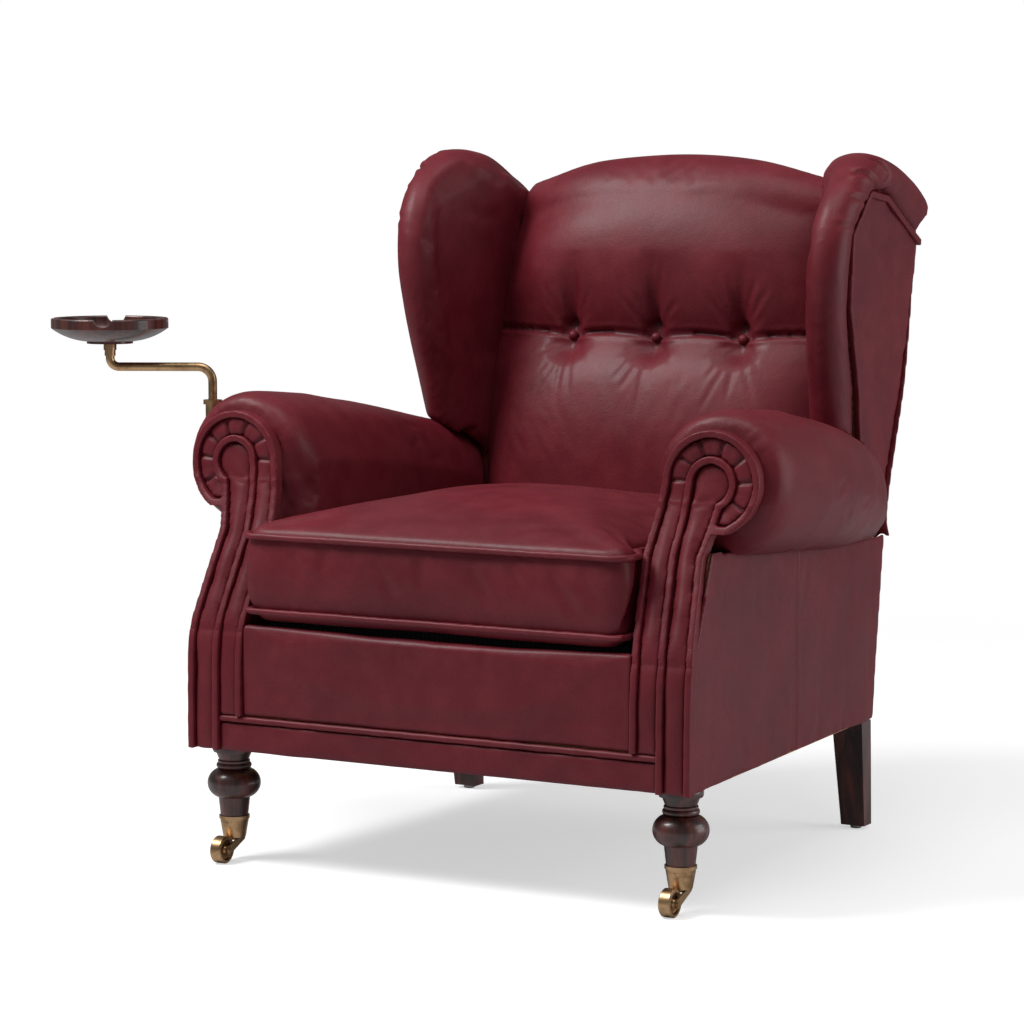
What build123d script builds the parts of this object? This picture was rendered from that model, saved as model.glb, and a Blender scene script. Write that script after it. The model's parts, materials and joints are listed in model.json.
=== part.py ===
from build123d import *

import os
from math import asin, cos, pi, radians, sin, sqrt

os.makedirs("parts", exist_ok=True)

# Scroll-arm wing chair with a loose seat cushion, a buttoned back, turned front
# legs on casters and a round tray on a swinging rod.
# Millimetres. +X is to the right of someone facing the chair, +Y to its back,
# +Z up. The origin is on the floor, under the middle of the seat.

# Fits and clearances
seam_gap = 0.3
rest_gap = 0.3
running_gap = 0.05
overrun = 60

# Overall body
base_z = 155
front_y = -322
rear_y = 324
skirt_front_half = 367
skirt_rear_inset = 31
skirt_rear_half = skirt_front_half - skirt_rear_inset
crest_z = 935
back_lean = 134
cover_thick = 6

# The back's outer line, as shares of the height over the base and of the lean
rear_height_shares = (0, 0.327, 0.622, 0.84, 0.95)
rear_lean_shares = (0, 0.3, 0.705, 0.91, 1)

# Arm fronts, seen from the side and from the front
knee_z = 313
scroll_y = -230
neck_z = 505
front_bend_r = 40
facing_thick = 14
facing_wide = 47
facing_inner_x = skirt_front_half - facing_wide
waist_inner_inset = 59
facing_waist_inner_x = skirt_front_half - waist_inner_inset
waist_outer_inset = 13
facing_waist_outer_x = skirt_front_half - waist_outer_inset
facing_waist_z = 440
scroll_inset = 17
eye_x = skirt_front_half - scroll_inset
eye_z = 529
eye_r = 34
eye_notch_turn = -60
scroll_r = 66
band_width = 36
band_turn = -65
tail_share = 0.5
cord_d = 9
cord_proud = 4

# Arm rolls
roll_x = skirt_front_half - scroll_inset
roll_front_z = 531
roll_r = 90
roll_rear_y = 300
roll_rear_seam_z = 406
roll_seam_turn = 80
roll_taper_shares = (
    (0, 1, 1), (0.3, 1, 1), (0.5, 0.94, 0.95), (0.7, 0.83, 0.925), (0.85, 0.7, 0.945), (1, 0.54, 0.995),
)
roll_nose_depth = 36
roll_nose_shares = ((0, 0.8), (0.16, 0.9), (0.5, 0.97), (1, 1))
arm_wide = 103
arm_inner_x = skirt_front_half - arm_wide
arm_lining = 36
arm_step_inset = 80
arm_step_x = skirt_front_half - arm_step_inset
arm_step_thick = 9

# Frame members
rail_thick = 25
rail_top_z = 303.4
side_rail_tall = 75
arm_post_inset = 12
arm_post_outer_x = skirt_front_half - arm_post_inset
arm_post_wide = 59
arm_post_inner_x = arm_post_outer_x - arm_post_wide
arm_rail_tall = 40
back_post_inset = 82
back_post_inner_x = skirt_front_half - back_post_inset
back_post_wide = 34
back_frame_depth = 40
crest_rail_share = 0.8718
crest_rail_tall = 55
lower_rail_low_z = 335
lower_rail_tall = 45
corner_block_leg = 50
corner_block_tall = 60

# Springs, webbing and dust cover
spring_count = 5
spring_wire_d = 4
spring_spacing = 105
spring_wave = 25
spring_pitch = 36
spring_turns = 8
webbing_count = 4
webbing_wide = 50
webbing_thick = 2.4
webbing_low_share = 0.4038
webbing_high_share = 0.7372
dust_thick = 1.2
dust_rear_y = 270

# Front and seat deck
border_top_z = 324
welt_z = 198
border_thick = 12
border_round = 5
deck_top_z = 328
deck_thick = 20
deck_rear_gap = 2

# Seat cushion
cushion_front_y = -318
cushion_rear_y = 241
cushion_ear_out = 7.5
cushion_front_half = arm_inner_x + cushion_ear_out
cushion_side_gap = 6
cushion_rear_half = arm_inner_x - cushion_side_gap
cushion_ear_y = -238
cushion_corner_r = 26
cushion_ear_r = 8
cushion_nook_r = 3
cushion_ease_share = 0.25
cushion_tall = 142
cord_height_shares = (0.1, 0.79)
boxing_shares = (
    (0, 1.9), (0.05, 1.2), (0.1, 1.035), (0.15, 0.9), (0.3, 0.45),
    (0.6, 0.45), (0.74, 0.9), (0.79, 1.035), (0.83, 1.2),
)
crown_shares = ((0, 1), (0.35, 0.97), (0.65, 0.88), (0.88, 0.68), (0.97, 0.45), (1, 0.2))

# Inside back: the middle and the edge of its face, from the deck to the crest
back_front_y = 252
lumbar_y = 246
lumbar_share = 0.4423
lumbar_arc_shares = (0.257, 0.53)
tuft_y = 313
tuft_share = 0.6782
bulge_y = 296
bulge_share = 0.8013
brow_y = 332
brow_drop = 55
crest_share = 0.54
crest_round_drop = 50
crest_arc_shares = (0.3, 0.29)
back_edge_thick = 14
back_edge_inset = 75
back_half = skirt_front_half - back_edge_inset
back_station_shares = (0, 0.411, 0.702, 0.884, 1)
back_edge_shares = (0, 0.03, 0.2, 0.55, 1)
crest_drop_shares = (0, 0.18, 0.5, 0.78, 1)
crest_drop = 40
button_d = 15
button_edge = 2
button_dome = 6
button_spacing = 134.5
button_share = 0.6692
dimple_r = 30
dimple_depth = 7

# Wings: the face towards the sitter and the outer face are leaning planes
wing_inner_inset = 121.5
wing_inner_x = skirt_front_half - wing_inner_inset
wing_inner_splay = -0.08
wing_inner_lean = 0.085
wing_outer_inset = 65.4
wing_outer_x = skirt_front_half - wing_outer_inset
wing_outer_splay = 0.018
wing_outer_lean = 0.047
wing_roll_r = 28
wing_roll_inset = 112
wing_roll_x = skirt_front_half - wing_roll_inset
wing_low_z = 500
wing_high_share = 0.9718
wing_front_y = 185
wing_depth = 277
wing_roll_shares = (
    (0.24, 0.09), (0.05, 0.48), (0, 0.685), (0.06, 0.86),
    (0.34, 1), (0.62, 0.965), (0.84, 0.915), (0.985, 0.86),
)
wing_panel_shares = (
    (0.39, -0.1), (0.275, 0.29), (0.13, 0.56), (0.12, 0.78),
    (0.29, 0.91), (0.48, 0.895), (0.72, 0.81), (1.3, 0.62),
)
easy_bend_share = 0.45
wing_board_thick = 15
panel_thick = 5

# Front legs: height and radius of the turning, from the base down
front_leg_inset = 37
front_leg_x = skirt_front_half - front_leg_inset
front_leg_y = -271.5
leg_disc_d = 55
leg_bulb_d = 68.5
leg_neck_d = 39
leg_ankle_d = 42
leg_foot_d = 36.6
leg_foot_z = 60
leg_tip_z = 40
leg_tip_d = 29
leg_neck_share = 0.22
leg_ring_share = 0.25
leg_bead_share = 0.293
leg_collar_share = 0.335
leg_bulb_share = 0.47
leg_ankle_share = 0.74
leg_disc_share = 0.095
leg_cone_share = 0.88

# Casters
ferrule_low_z = 31
ferrule_low_d = 30
ferrule_lip_d = 40.6
ferrule_lip_tall = 4
ferrule_wall = 2
ferrule_floor = 5
pin_d = 3
pin_z = 51
pin_proud = 0.8
wheel_d = 36
wheel_wide = 16
wheel_hub_wide = 17
wheel_hub_d = 13
wheel_dish = 3
wheel_rim_deep = 4
wheel_round = 1.5
caster_trail = 30
axle_d = 5
axle_head_d = 8
axle_head_thick = 1.5
fork_thick = 3
fork_gap = 0.5
fork_eye_d = 12
plate_d = 22
plate_thick = 3
stem_d = 7
stem_head_d = 11
stem_head_thick = 2.2
stem_head_room = 1

# Rear legs
rear_leg_inset = 56
rear_leg_x = skirt_front_half - rear_leg_inset
rear_leg_top_y = 304
rear_leg_top_wide = 45
rear_leg_top_deep = 32
rear_leg_foot_y = 325
rear_leg_foot_wide = 35
rear_leg_foot_deep = 25
glide_d = 16
glide_tall = 5

# Tray, rod and its socket on the left arm
socket_out = 90
socket_x = -skirt_front_half - socket_out
socket_y = -127
socket_r = 10
socket_low_z = 500
socket_top_z = 600
socket_floor = 10
socket_ring_r = 13
socket_ring_tall = 6
saddle_thick = 5
saddle_half_deep = 24
saddle_low_z = 508
saddle_top_z = 582
web_half_deep = 6
screw_d = 4
screw_head_d = 8
screw_head_thick = 2.5
screw_y = 17
rod_d = 12
rod_run_z = 645
rod_low_bend_r = 20
rod_high_bend_r = 12
rod_top_z = 674
tray_reach = 126
tray_x = socket_x - tray_reach
tray_y = -190
collar_d = 17.7
collar_low_z = 660
collar_step_z = 668
collar_top_z = 677
collar_step_d = 15
tray_d = 160
tray_foot_share = 0.394
tray_tall = 35
tray_rim_tall = 13.7
tray_rim_wide = 9
tray_floor_thick = 8
tray_foot_tall = 3
tray_edge_r = 2.5
tray_belly_shares = (0.55, 0.42)
tray_bowl_shares = (0.95, 0.4)
tray_flat_share = 0.78
tray_notch_r = 13.5
tray_notch_deep = 10.5
tray_notch_count = 4
tray_notch_turn = -61


def save(piece, name):
    """Label a finished piece and write it."""
    piece.part.label = name
    export_step(piece.part, f"parts/{name}.step")


def save_pair(piece, name):
    """Write a right-hand piece and its mirror image for the left."""
    save(piece, f"{name}_right")
    with BuildPart() as twin:
        mirror(piece.part, about=Plane.YZ)
    save(twin, f"{name}_left")


def between(low, high, share):
    """The value a share of the way from low to high."""
    return low + (high - low) * share


def share_of(value, low, high):
    """How far value is on the way from low to high."""
    return (value - low) / (high - low)


def rear_knots():
    """Corner points of the back's outer line, from the base to the crest."""
    return [
        (between(rear_y, rear_y + back_lean, lean), between(base_z, crest_z, height))
        for height, lean in zip(rear_height_shares, rear_lean_shares)
    ]


def rear_y_at(z):
    """Depth of the back's outer line at a height."""
    knots = rear_knots()
    for (low_y, low_z), (high_y, high_z) in zip(knots, knots[1:]):
        if z <= high_z:
            break
    return between(low_y, high_y, share_of(z, low_z, high_z))


def rear_path(low_z, high_z, inset):
    """The back's outer line between two heights, moved forward by inset."""
    heights = [low_z] + [z for y, z in rear_knots() if low_z < z < high_z] + [high_z]
    return [(rear_y_at(z) - inset, z) for z in heights]


def side_face(points, x=0):
    """A face with straight edges in a plane seen from the side."""
    with BuildSketch(Plane.YZ.offset(x)) as face:
        with BuildLine():
            Polyline(*points, close=True)
        make_face()
    return face.sketch


def rear_strip(low_z, high_z, near, far, x=0):
    """Side view of a layer that follows the back's outer line."""
    outer = rear_path(low_z, high_z, near)
    inner = rear_path(low_z, high_z, far)
    return side_face(outer + inner[::-1], x)


def plan_face(points, z=0):
    """A face with straight edges seen from above."""
    with BuildSketch(Plane.XY.offset(z)) as face:
        with BuildLine():
            Polyline(*points, close=True)
        make_face()
    return face.sketch


def across(face, amount, mode=Mode.ADD):
    """Extrude a side view towards +X in the part being built."""
    return extrude(face, amount=amount, dir=(1, 0, 0), mode=mode)


def forward(face, amount, mode=Mode.ADD):
    """Extrude a front view towards the front in the part being built."""
    return extrude(face, amount=amount, dir=(0, -1, 0), mode=mode)


def upward(face, amount, mode=Mode.ADD):
    """Extrude a plan view upwards in the part being built."""
    return extrude(face, amount=amount, dir=(0, 0, 1), mode=mode)


def block(x_range, y_range, z_range, mode=Mode.ADD):
    """A box between three pairs of limits, in the part being built."""
    corners = [(x_range[i], y_range[j]) for i, j in ((0, 0), (1, 0), (1, 1), (0, 1))]
    return upward(plan_face(corners, z_range[0]), z_range[1] - z_range[0], mode)


def front_line(inset):
    """Corner points of the arm's front line, moved back by inset."""
    return [
        (front_y + inset, base_z - overrun),
        (front_y + inset, knee_z),
        (scroll_y + inset, neck_z),
        (scroll_y + inset, roll_front_z + roll_r + overrun),
    ]


def front_region(near, x=0):
    """Side view of all that lies behind a parallel of the arm's front line."""
    line = front_line(near)
    far_y = rear_y + back_lean
    with BuildSketch(Plane.YZ.offset(x)) as face:
        with BuildLine():
            FilletPolyline(*line, radius=front_bend_r)
            Polyline(line[-1], (far_y, line[-1][1]), (far_y, line[0][1]), line[0])
        make_face()
    return face.sketch


def front_layer(near, far, x=0):
    """Side view of a layer that follows the arm's front line."""
    outer = front_line(near)
    inner = front_line(far)
    with BuildSketch(Plane.YZ.offset(x)) as face:
        with BuildLine():
            FilletPolyline(*outer, radius=front_bend_r)
            FilletPolyline(*inner, radius=front_bend_r)
            Line(outer[0], inner[0])
            Line(outer[-1], inner[-1])
        make_face()
    return face.sketch


def outer_x_at(y):
    """Half width over the side panels at a depth."""
    return between(skirt_front_half, skirt_rear_half, share_of(y, front_y, rear_y))


def facing_face(grow):
    """The scroll facing's outline, seen from the front, grown or shrunk."""
    low_z = base_z - overrun
    notch = (eye_x + eye_r * cos(radians(eye_notch_turn)), eye_z + eye_r * sin(radians(eye_notch_turn)))
    with BuildSketch(Plane.XZ) as face:
        with BuildLine():
            Polyline(
                (facing_inner_x, low_z),
                (facing_inner_x, knee_z),
                (facing_waist_inner_x, facing_waist_z),
                (eye_x - eye_r, eye_z),
            )
            ThreePointArc((eye_x - eye_r, eye_z), (eye_x, eye_z + eye_r), (eye_x + eye_r, eye_z))
            ThreePointArc(
                (eye_x + eye_r, eye_z),
                (
                    eye_x + eye_r * cos(radians(eye_notch_turn / 2)),
                    eye_z + eye_r * sin(radians(eye_notch_turn / 2)),
                ),
                notch,
            )
            Polyline(
                notch,
                (facing_waist_outer_x, facing_waist_z),
                (skirt_front_half, knee_z),
                (skirt_front_half, low_z),
                (facing_inner_x, low_z),
            )
        make_face()
        if grow != 0:
            offset(amount=grow, kind=Kind.INTERSECTION, mode=Mode.REPLACE)
    return face.sketch


def scroll_face(grow):
    """The pleated band's outer outline, seen from the front, grown or shrunk."""
    low_z = base_z - overrun
    tail = (eye_x + scroll_r * cos(radians(band_turn)), eye_z + scroll_r * sin(radians(band_turn)))
    core_x = between(facing_inner_x, facing_waist_outer_x, tail_share)
    with BuildSketch(Plane.XZ) as face:
        with BuildLine():
            Polyline(
                (facing_inner_x - band_width, low_z),
                (facing_inner_x - band_width, knee_z),
                (facing_waist_inner_x - band_width, facing_waist_z),
                (eye_x - scroll_r, eye_z),
            )
            ThreePointArc((eye_x - scroll_r, eye_z), (eye_x, eye_z + scroll_r), (eye_x + scroll_r, eye_z))
            ThreePointArc(
                (eye_x + scroll_r, eye_z),
                (
                    eye_x + scroll_r * cos(radians(band_turn / 2)),
                    eye_z + scroll_r * sin(radians(band_turn / 2)),
                ),
                tail,
            )
            Polyline(tail, (core_x, tail[1]), (core_x, low_z), (facing_inner_x - band_width, low_z))
        make_face()
        if grow != 0:
            offset(amount=grow, kind=Kind.INTERSECTION, mode=Mode.REPLACE)
    return face.sketch


def taper_at(y, column):
    """The arm roll's half width (1) or the rise of its top (2) at a depth, as a share of its radius."""
    way = share_of(y, scroll_y, roll_rear_y)
    for low, high in zip(roll_taper_shares, roll_taper_shares[1:]):
        if way <= high[0]:
            break
    return between(low[column], high[column], share_of(way, low[0], high[0]))


def roll_half_at(y):
    """Half the width of the arm roll at a depth."""
    return roll_r * taper_at(y, 1)


def roll_x_at(y):
    """The arm roll's centre at a depth, measured from its nearly straight inner side."""
    way = max(share_of(y, socket_y, roll_rear_y), 0)
    return between(roll_x - roll_r, arm_inner_x, way) + roll_half_at(y)


def seam_z_at(y):
    """Height of the seam under the arm roll at a depth."""
    front_z = roll_front_z - roll_r * sin(radians(roll_seam_turn))
    return between(front_z, roll_rear_seam_z, share_of(y, scroll_y, roll_rear_y))


def roll_z_at(y):
    """Height of the arm roll's centre at a depth."""
    return seam_z_at(y) + roll_half_at(y) * sin(radians(roll_seam_turn))


def roll_section(y, swell=1):
    """Cross-section of the right arm's pad at a depth, its roll swelled by a share."""
    half = roll_half_at(y) * swell
    rise = roll_r * taper_at(y, 2) * swell
    x = roll_x_at(y)
    z = roll_z_at(y)
    low_z = deck_low_z
    core_x = arm_inner_x + arm_lining
    seam = radians(-roll_seam_turn)
    seam_x = x + half * cos(seam)
    seam_z = z + half * sin(seam)
    with BuildSketch(Plane.XZ.offset(-y)) as section:
        with BuildLine():
            Line((arm_inner_x, low_z), (x - half, z))
            EllipticalCenterArc((x, z), half, rise, start_angle=0, arc_size=180)
            ThreePointArc(
                (x + half, z),
                (x + half * cos(seam / 2), z + half * sin(seam / 2)),
                (seam_x, seam_z),
            )
            Polyline((seam_x, seam_z), (core_x, seam_z), (core_x, low_z), (arm_inner_x, low_z))
        make_face()
    return section.sketch


# Places worked out from the sizes above
lumbar_z = between(base_z, crest_z, lumbar_share)
tuft_z = between(base_z, crest_z, tuft_share)
bulge_z = between(base_z, crest_z, bulge_share)
button_z = between(base_z, crest_z, button_share)
crest_rail_top_z = between(base_z, crest_z, crest_rail_share)
wing_high_z = between(base_z, crest_z, wing_high_share)
layer_back = facing_thick + seam_gap
roll_start_y = scroll_y + layer_back
arm_post_rear_y = roll_start_y - seam_gap
deck_low_z = deck_top_z - deck_thick
front_rail_y = front_y + facing_thick
rear_frame_near = cover_thick + seam_gap
rear_frame_far = cover_thick + back_frame_depth
side_lining = cover_thick + seam_gap
arm_core_x = arm_inner_x + arm_lining


# Front seat rail
with BuildPart() as front_seat_rail:
    block(
        (-arm_post_inner_x, arm_post_inner_x),
        (front_rail_y, front_rail_y + rail_thick),
        (base_z, rail_top_z),
    )
save(front_seat_rail, "front_seat_rail")

# Rear seat rail, which leans with the back
with BuildPart() as rear_seat_rail:
    across(
        rear_strip(base_z, rail_top_z, rear_frame_near, rear_frame_far, -back_post_inner_x),
        2 * back_post_inner_x,
    )
save(rear_seat_rail, "rear_seat_rail")

# Side seat rails inside the tapering side panels
side_rail_front_y = arm_post_rear_y + seam_gap
side_rail_rear_y = rear_y - rear_frame_far - seam_gap
with BuildPart() as side_seat_rails:
    for side in (-1, 1):
        rail_plan = plan_face(
            [
                (side * (outer_x_at(side_rail_front_y) - side_lining), side_rail_front_y),
                (side * (outer_x_at(side_rail_rear_y) - side_lining), side_rail_rear_y),
                (side * (outer_x_at(side_rail_rear_y) - side_lining - rail_thick), side_rail_rear_y),
                (side * (outer_x_at(side_rail_front_y) - side_lining - rail_thick), side_rail_front_y),
            ],
            base_z,
        )
        upward(rail_plan, side_rail_tall)
save(side_seat_rails, "side_seat_rails")

# Corner blocks glued into the four corners
front_block_y = front_rail_y + rail_thick
with BuildPart() as corner_blocks:
    for side in (-1, 1):
        rear_block_x = outer_x_at(side_rail_rear_y) - side_lining - rail_thick
        tip_x = outer_x_at(side_rail_rear_y - corner_block_leg) - side_lining - rail_thick
        front_block = plan_face(
            [
                (side * arm_post_inner_x, front_block_y),
                (side * arm_post_inner_x, front_block_y + corner_block_leg),
                (side * (arm_post_inner_x - corner_block_leg), front_block_y),
            ],
            base_z,
        )
        upward(front_block, corner_block_tall)
        rear_block = plan_face(
            [
                (side * rear_block_x, side_rail_rear_y),
                (side * tip_x, side_rail_rear_y - corner_block_leg),
                (side * (rear_block_x - corner_block_leg), side_rail_rear_y),
            ],
            base_z,
        )
        upward(rear_block, corner_block_tall)
save(corner_blocks, "corner_blocks")

# Arm posts behind the scroll facings
arm_post_top_z = seam_z_at(roll_start_y) - seam_gap
with BuildPart() as arm_posts:
    across(
        front_region(layer_back, arm_post_inner_x),
        arm_post_outer_x - arm_post_inner_x,
    )
    block(
        (arm_post_inner_x, arm_post_outer_x),
        (front_y, arm_post_rear_y),
        (base_z, arm_post_top_z),
        Mode.INTERSECT,
    )
    mirror(about=Plane.YZ)
save(arm_posts, "arm_posts")

# Arm rails under the rolls
arm_rail_rear_z = seam_z_at(roll_rear_y) - seam_gap
arm_rail_rear_y = rear_y_at(arm_rail_rear_z - arm_rail_tall) - rear_frame_far - seam_gap
arm_rail_inner_x = arm_core_x + seam_gap
with BuildPart() as arm_rails:
    rail_side = side_face(
        [
            (roll_start_y, arm_post_top_z),
            (roll_rear_y, arm_rail_rear_z),
            (rear_y_at(arm_rail_rear_z) - rear_frame_far - seam_gap, arm_rail_rear_z),
            (arm_rail_rear_y, arm_rail_rear_z - arm_rail_tall),
            (roll_start_y, arm_post_top_z - arm_rail_tall),
        ],
        arm_rail_inner_x,
    )
    across(rail_side, outer_x_at(front_y) - arm_rail_inner_x)
    rail_plan = plan_face(
        [
            (arm_rail_inner_x, roll_start_y),
            (outer_x_at(roll_start_y) - side_lining, roll_start_y),
            (outer_x_at(rear_y) - side_lining, rear_y),
            (arm_rail_inner_x, rear_y),
        ],
        base_z,
    )
    upward(rail_plan, crest_z, Mode.INTERSECT)
    mirror(about=Plane.YZ)
save(arm_rails, "arm_rails")

# Back posts, left and right
with BuildPart() as back_post:
    across(
        rear_strip(base_z, crest_rail_top_z, rear_frame_near, rear_frame_far, back_post_inner_x + seam_gap),
        back_post_wide - seam_gap,
    )
save_pair(back_post, "back_post")

# Crest rail and lower back rail
with BuildPart() as back_rails:
    crest_rail = (crest_rail_top_z - crest_rail_tall, crest_rail_tall)
    for low_z, tall in (crest_rail, (lower_rail_low_z, lower_rail_tall)):
        across(
            rear_strip(low_z, low_z + tall, rear_frame_near, rear_frame_far, -back_post_inner_x),
            2 * back_post_inner_x,
        )
save(back_rails, "back_rails")


def zigzag(x):
    """Centre line of one seat spring, from the front rail to the rear rail."""
    start_y = front_rail_y + rail_thick / 2
    points = [(x, start_y)]
    for turn in range(spring_turns):
        side = 1 if turn % 2 else -1
        near_y = start_y + spring_pitch * (2 * turn + 1)
        points.append((x + side * spring_wave, near_y))
        points.append((x + side * spring_wave, near_y + spring_pitch))
    points.append((x, start_y + spring_pitch * 2 * spring_turns + spring_pitch))
    return points


# Sinuous seat springs
spring_z = rail_top_z + rest_gap + spring_wire_d / 2
with BuildPart() as seat_springs:
    for index in range(spring_count):
        spring_x = spring_spacing * (index - (spring_count - 1) / 2)
        with BuildLine(Plane.XY.offset(spring_z)) as spring_line:
            FilletPolyline(*zigzag(spring_x), radius=spring_pitch * easy_bend_share)
        with BuildSketch(spring_line.line ^ 0):
            Circle(spring_wire_d / 2)
        sweep(path=spring_line.line)
save(seat_springs, "seat_springs")

# Webbing bands across the back posts
with BuildPart() as back_webbing:
    for index in range(webbing_count):
        band_share = between(webbing_low_share, webbing_high_share, index / (webbing_count - 1))
        band_z = between(base_z, crest_z, band_share)
        across(
            rear_strip(
                band_z - webbing_wide / 2,
                band_z + webbing_wide / 2,
                rear_frame_far + rest_gap,
                rear_frame_far + rest_gap + webbing_thick,
                -back_post_inner_x - back_post_wide / 2,
            ),
            2 * back_post_inner_x + back_post_wide,
        )
save(back_webbing, "back_webbing")

# Dust cover stapled under the rails
with BuildPart() as dust_cover:
    block(
        (-back_post_inner_x, back_post_inner_x),
        (front_rail_y, dust_rear_y),
        (base_z - dust_thick, base_z),
    )
save(dust_cover, "dust_cover")

# Seat deck on the springs
deck_rear_y = back_front_y - deck_rear_gap
arm_lean_share = share_of(deck_top_z, deck_low_z, roll_front_z)
deck_half = between(arm_inner_x, roll_x - roll_r, arm_lean_share) - seam_gap
with BuildPart() as seat_deck:
    block(
        (-deck_half, deck_half),
        (front_rail_y + rail_thick, deck_rear_y),
        (spring_z + spring_wire_d / 2 + rest_gap, deck_top_z),
    )
save(seat_deck, "seat_deck")

# Limits that cut the arm-front layers
band_inner_x = facing_inner_x - band_width
cut_low_x = band_inner_x - overrun
cut_high_x = roll_x + roll_r + overrun
cut_front_y = front_y - overrun
cut_high_z = roll_front_z + roll_r + overrun
welt_top_z = welt_z + cord_d / 2 + seam_gap

# Padded front border over the rail, between the pleated bands
border_front_y = front_rail_y - border_thick
with BuildPart() as front_border:
    block((0, band_inner_x), (border_front_y, front_rail_y), (welt_top_z, border_top_z))
    fillet(front_border.edges().filter_by(Axis.X).group_by(Axis.Y)[0], radius=border_round)
    forward(scroll_face(seam_gap), -cut_front_y, Mode.SUBTRACT)
    mirror(about=Plane.YZ)
save(front_border, "front_border")

# Base border below the welt
with BuildPart() as base_border:
    block(
        (-facing_inner_x + seam_gap, facing_inner_x - seam_gap),
        (border_front_y, front_rail_y),
        (base_z, welt_z - cord_d / 2 - seam_gap),
    )
    fillet(base_border.edges().filter_by(Axis.X).group_by(Axis.Y)[0], radius=border_round)
save(base_border, "base_border")

# Front welt: a covered cord with its flange
with BuildPart() as front_welt:
    with BuildSketch(Plane.YZ.offset(-facing_inner_x + seam_gap)) as welt_side:
        with Locations((front_y + cord_d / 2, welt_z)):
            Circle(cord_d / 2)
        with BuildLine():
            Polyline(
                (front_y + cord_d / 2, welt_z - seam_gap),
                (front_rail_y, welt_z - seam_gap),
                (front_rail_y, welt_z + seam_gap),
                (front_y + cord_d / 2, welt_z + seam_gap),
                close=True,
            )
        make_face()
    extrude(amount=2 * (facing_inner_x - seam_gap))
save(front_welt, "front_welt")

# Scroll facings
with BuildPart() as arm_facing:
    forward(facing_face(-cord_d - seam_gap), -cut_front_y)
    across(front_layer(0, facing_thick, cut_low_x), cut_high_x - cut_low_x, Mode.INTERSECT)
    block((cut_low_x, cut_high_x), (cut_front_y, 0), (base_z, cut_high_z), Mode.INTERSECT)
save_pair(arm_facing, "arm_facing")

# Pleated bands round the facings
with BuildPart() as arm_band:
    forward(scroll_face(-cord_d - seam_gap), -cut_front_y)
    forward(facing_face(seam_gap), -cut_front_y, Mode.SUBTRACT)
    across(front_layer(0, facing_thick, cut_low_x), cut_high_x - cut_low_x, Mode.INTERSECT)
    block((cut_low_x, cut_high_x), (cut_front_y, 0), (welt_top_z, cut_high_z), Mode.INTERSECT)
save_pair(arm_band, "arm_band")

# Cords along the facing and along the band
with BuildPart() as facing_cord:
    forward(facing_face(0), -cut_front_y)
    forward(facing_face(-cord_d), -cut_front_y, Mode.SUBTRACT)
    across(front_layer(-cord_proud, facing_thick, cut_low_x), cut_high_x - cut_low_x, Mode.INTERSECT)
    block((cut_low_x, cut_high_x), (cut_front_y, 0), (base_z, cut_high_z), Mode.INTERSECT)
with BuildPart() as arm_piping:
    forward(scroll_face(0), -cut_front_y)
    forward(scroll_face(-cord_d), -cut_front_y, Mode.SUBTRACT)
    forward(facing_face(seam_gap), -cut_front_y, Mode.SUBTRACT)
    across(front_layer(-cord_proud, facing_thick, cut_low_x), cut_high_x - cut_low_x, Mode.INTERSECT)
    block((cut_low_x, cut_high_x), (cut_front_y, 0), (welt_top_z, cut_high_z), Mode.INTERSECT)
    add(facing_cord.part)
save_pair(arm_piping, "arm_piping")

# Arm pads: the roll with its rounded nose, the step beside the post and the
# wedge behind the scroll
wedge_rear_y = roll_start_y + facing_thick / 2
with BuildPart() as arm_step:
    across(front_region(layer_back, arm_step_x), arm_step_thick)
    block(
        (arm_step_x, arm_step_x + arm_step_thick),
        (cut_front_y, wedge_rear_y),
        (rail_top_z + seam_gap, seam_z_at(roll_start_y)),
        Mode.INTERSECT,
    )
with BuildPart() as arm_wedge:
    forward(scroll_face(-cord_d), -cut_front_y)
    across(front_region(layer_back, cut_low_x), cut_high_x - cut_low_x, Mode.INTERSECT)
    block(
        (arm_step_x, arm_post_outer_x),
        (cut_front_y, wedge_rear_y),
        (seam_z_at(roll_start_y), eye_z),
        Mode.INTERSECT,
    )
with BuildPart() as arm_pad:
    nose = [roll_section(roll_start_y + roll_nose_depth * depth, swell) for depth, swell in roll_nose_shares]
    taper = [between(scroll_y, roll_rear_y, shares[0]) for shares in roll_taper_shares[1:]]
    loft(sections=nose + [roll_section(y) for y in taper], ruled=True)
    add(arm_step.part)
    add(arm_wedge.part)
save_pair(arm_pad, "arm_pad")

# Outside arm panels
panel_rear_top_z = seam_z_at(roll_rear_y) - seam_gap
with BuildPart() as outside_arm:
    across(front_region(layer_back, cut_low_x), cut_high_x - cut_low_x)
    side_outline = side_face(
        [
            (cut_front_y, base_z),
            (rear_y, base_z),
            (rear_y_at(panel_rear_top_z), panel_rear_top_z),
            (roll_rear_y, panel_rear_top_z),
            (roll_start_y, seam_z_at(roll_start_y) - seam_gap),
            (cut_front_y, seam_z_at(roll_start_y) - seam_gap),
        ],
        cut_low_x,
    )
    across(side_outline, cut_high_x - cut_low_x, Mode.INTERSECT)
    side_plan = plan_face(
        [
            (outer_x_at(cut_front_y), cut_front_y),
            (outer_x_at(rear_y + back_lean), rear_y + back_lean),
            (outer_x_at(rear_y + back_lean) - cover_thick, rear_y + back_lean),
            (outer_x_at(cut_front_y) - cover_thick, cut_front_y),
        ],
        base_z,
    )
    upward(side_plan, cut_high_z - base_z, Mode.INTERSECT)
save_pair(outside_arm, "outside_arm")


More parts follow.
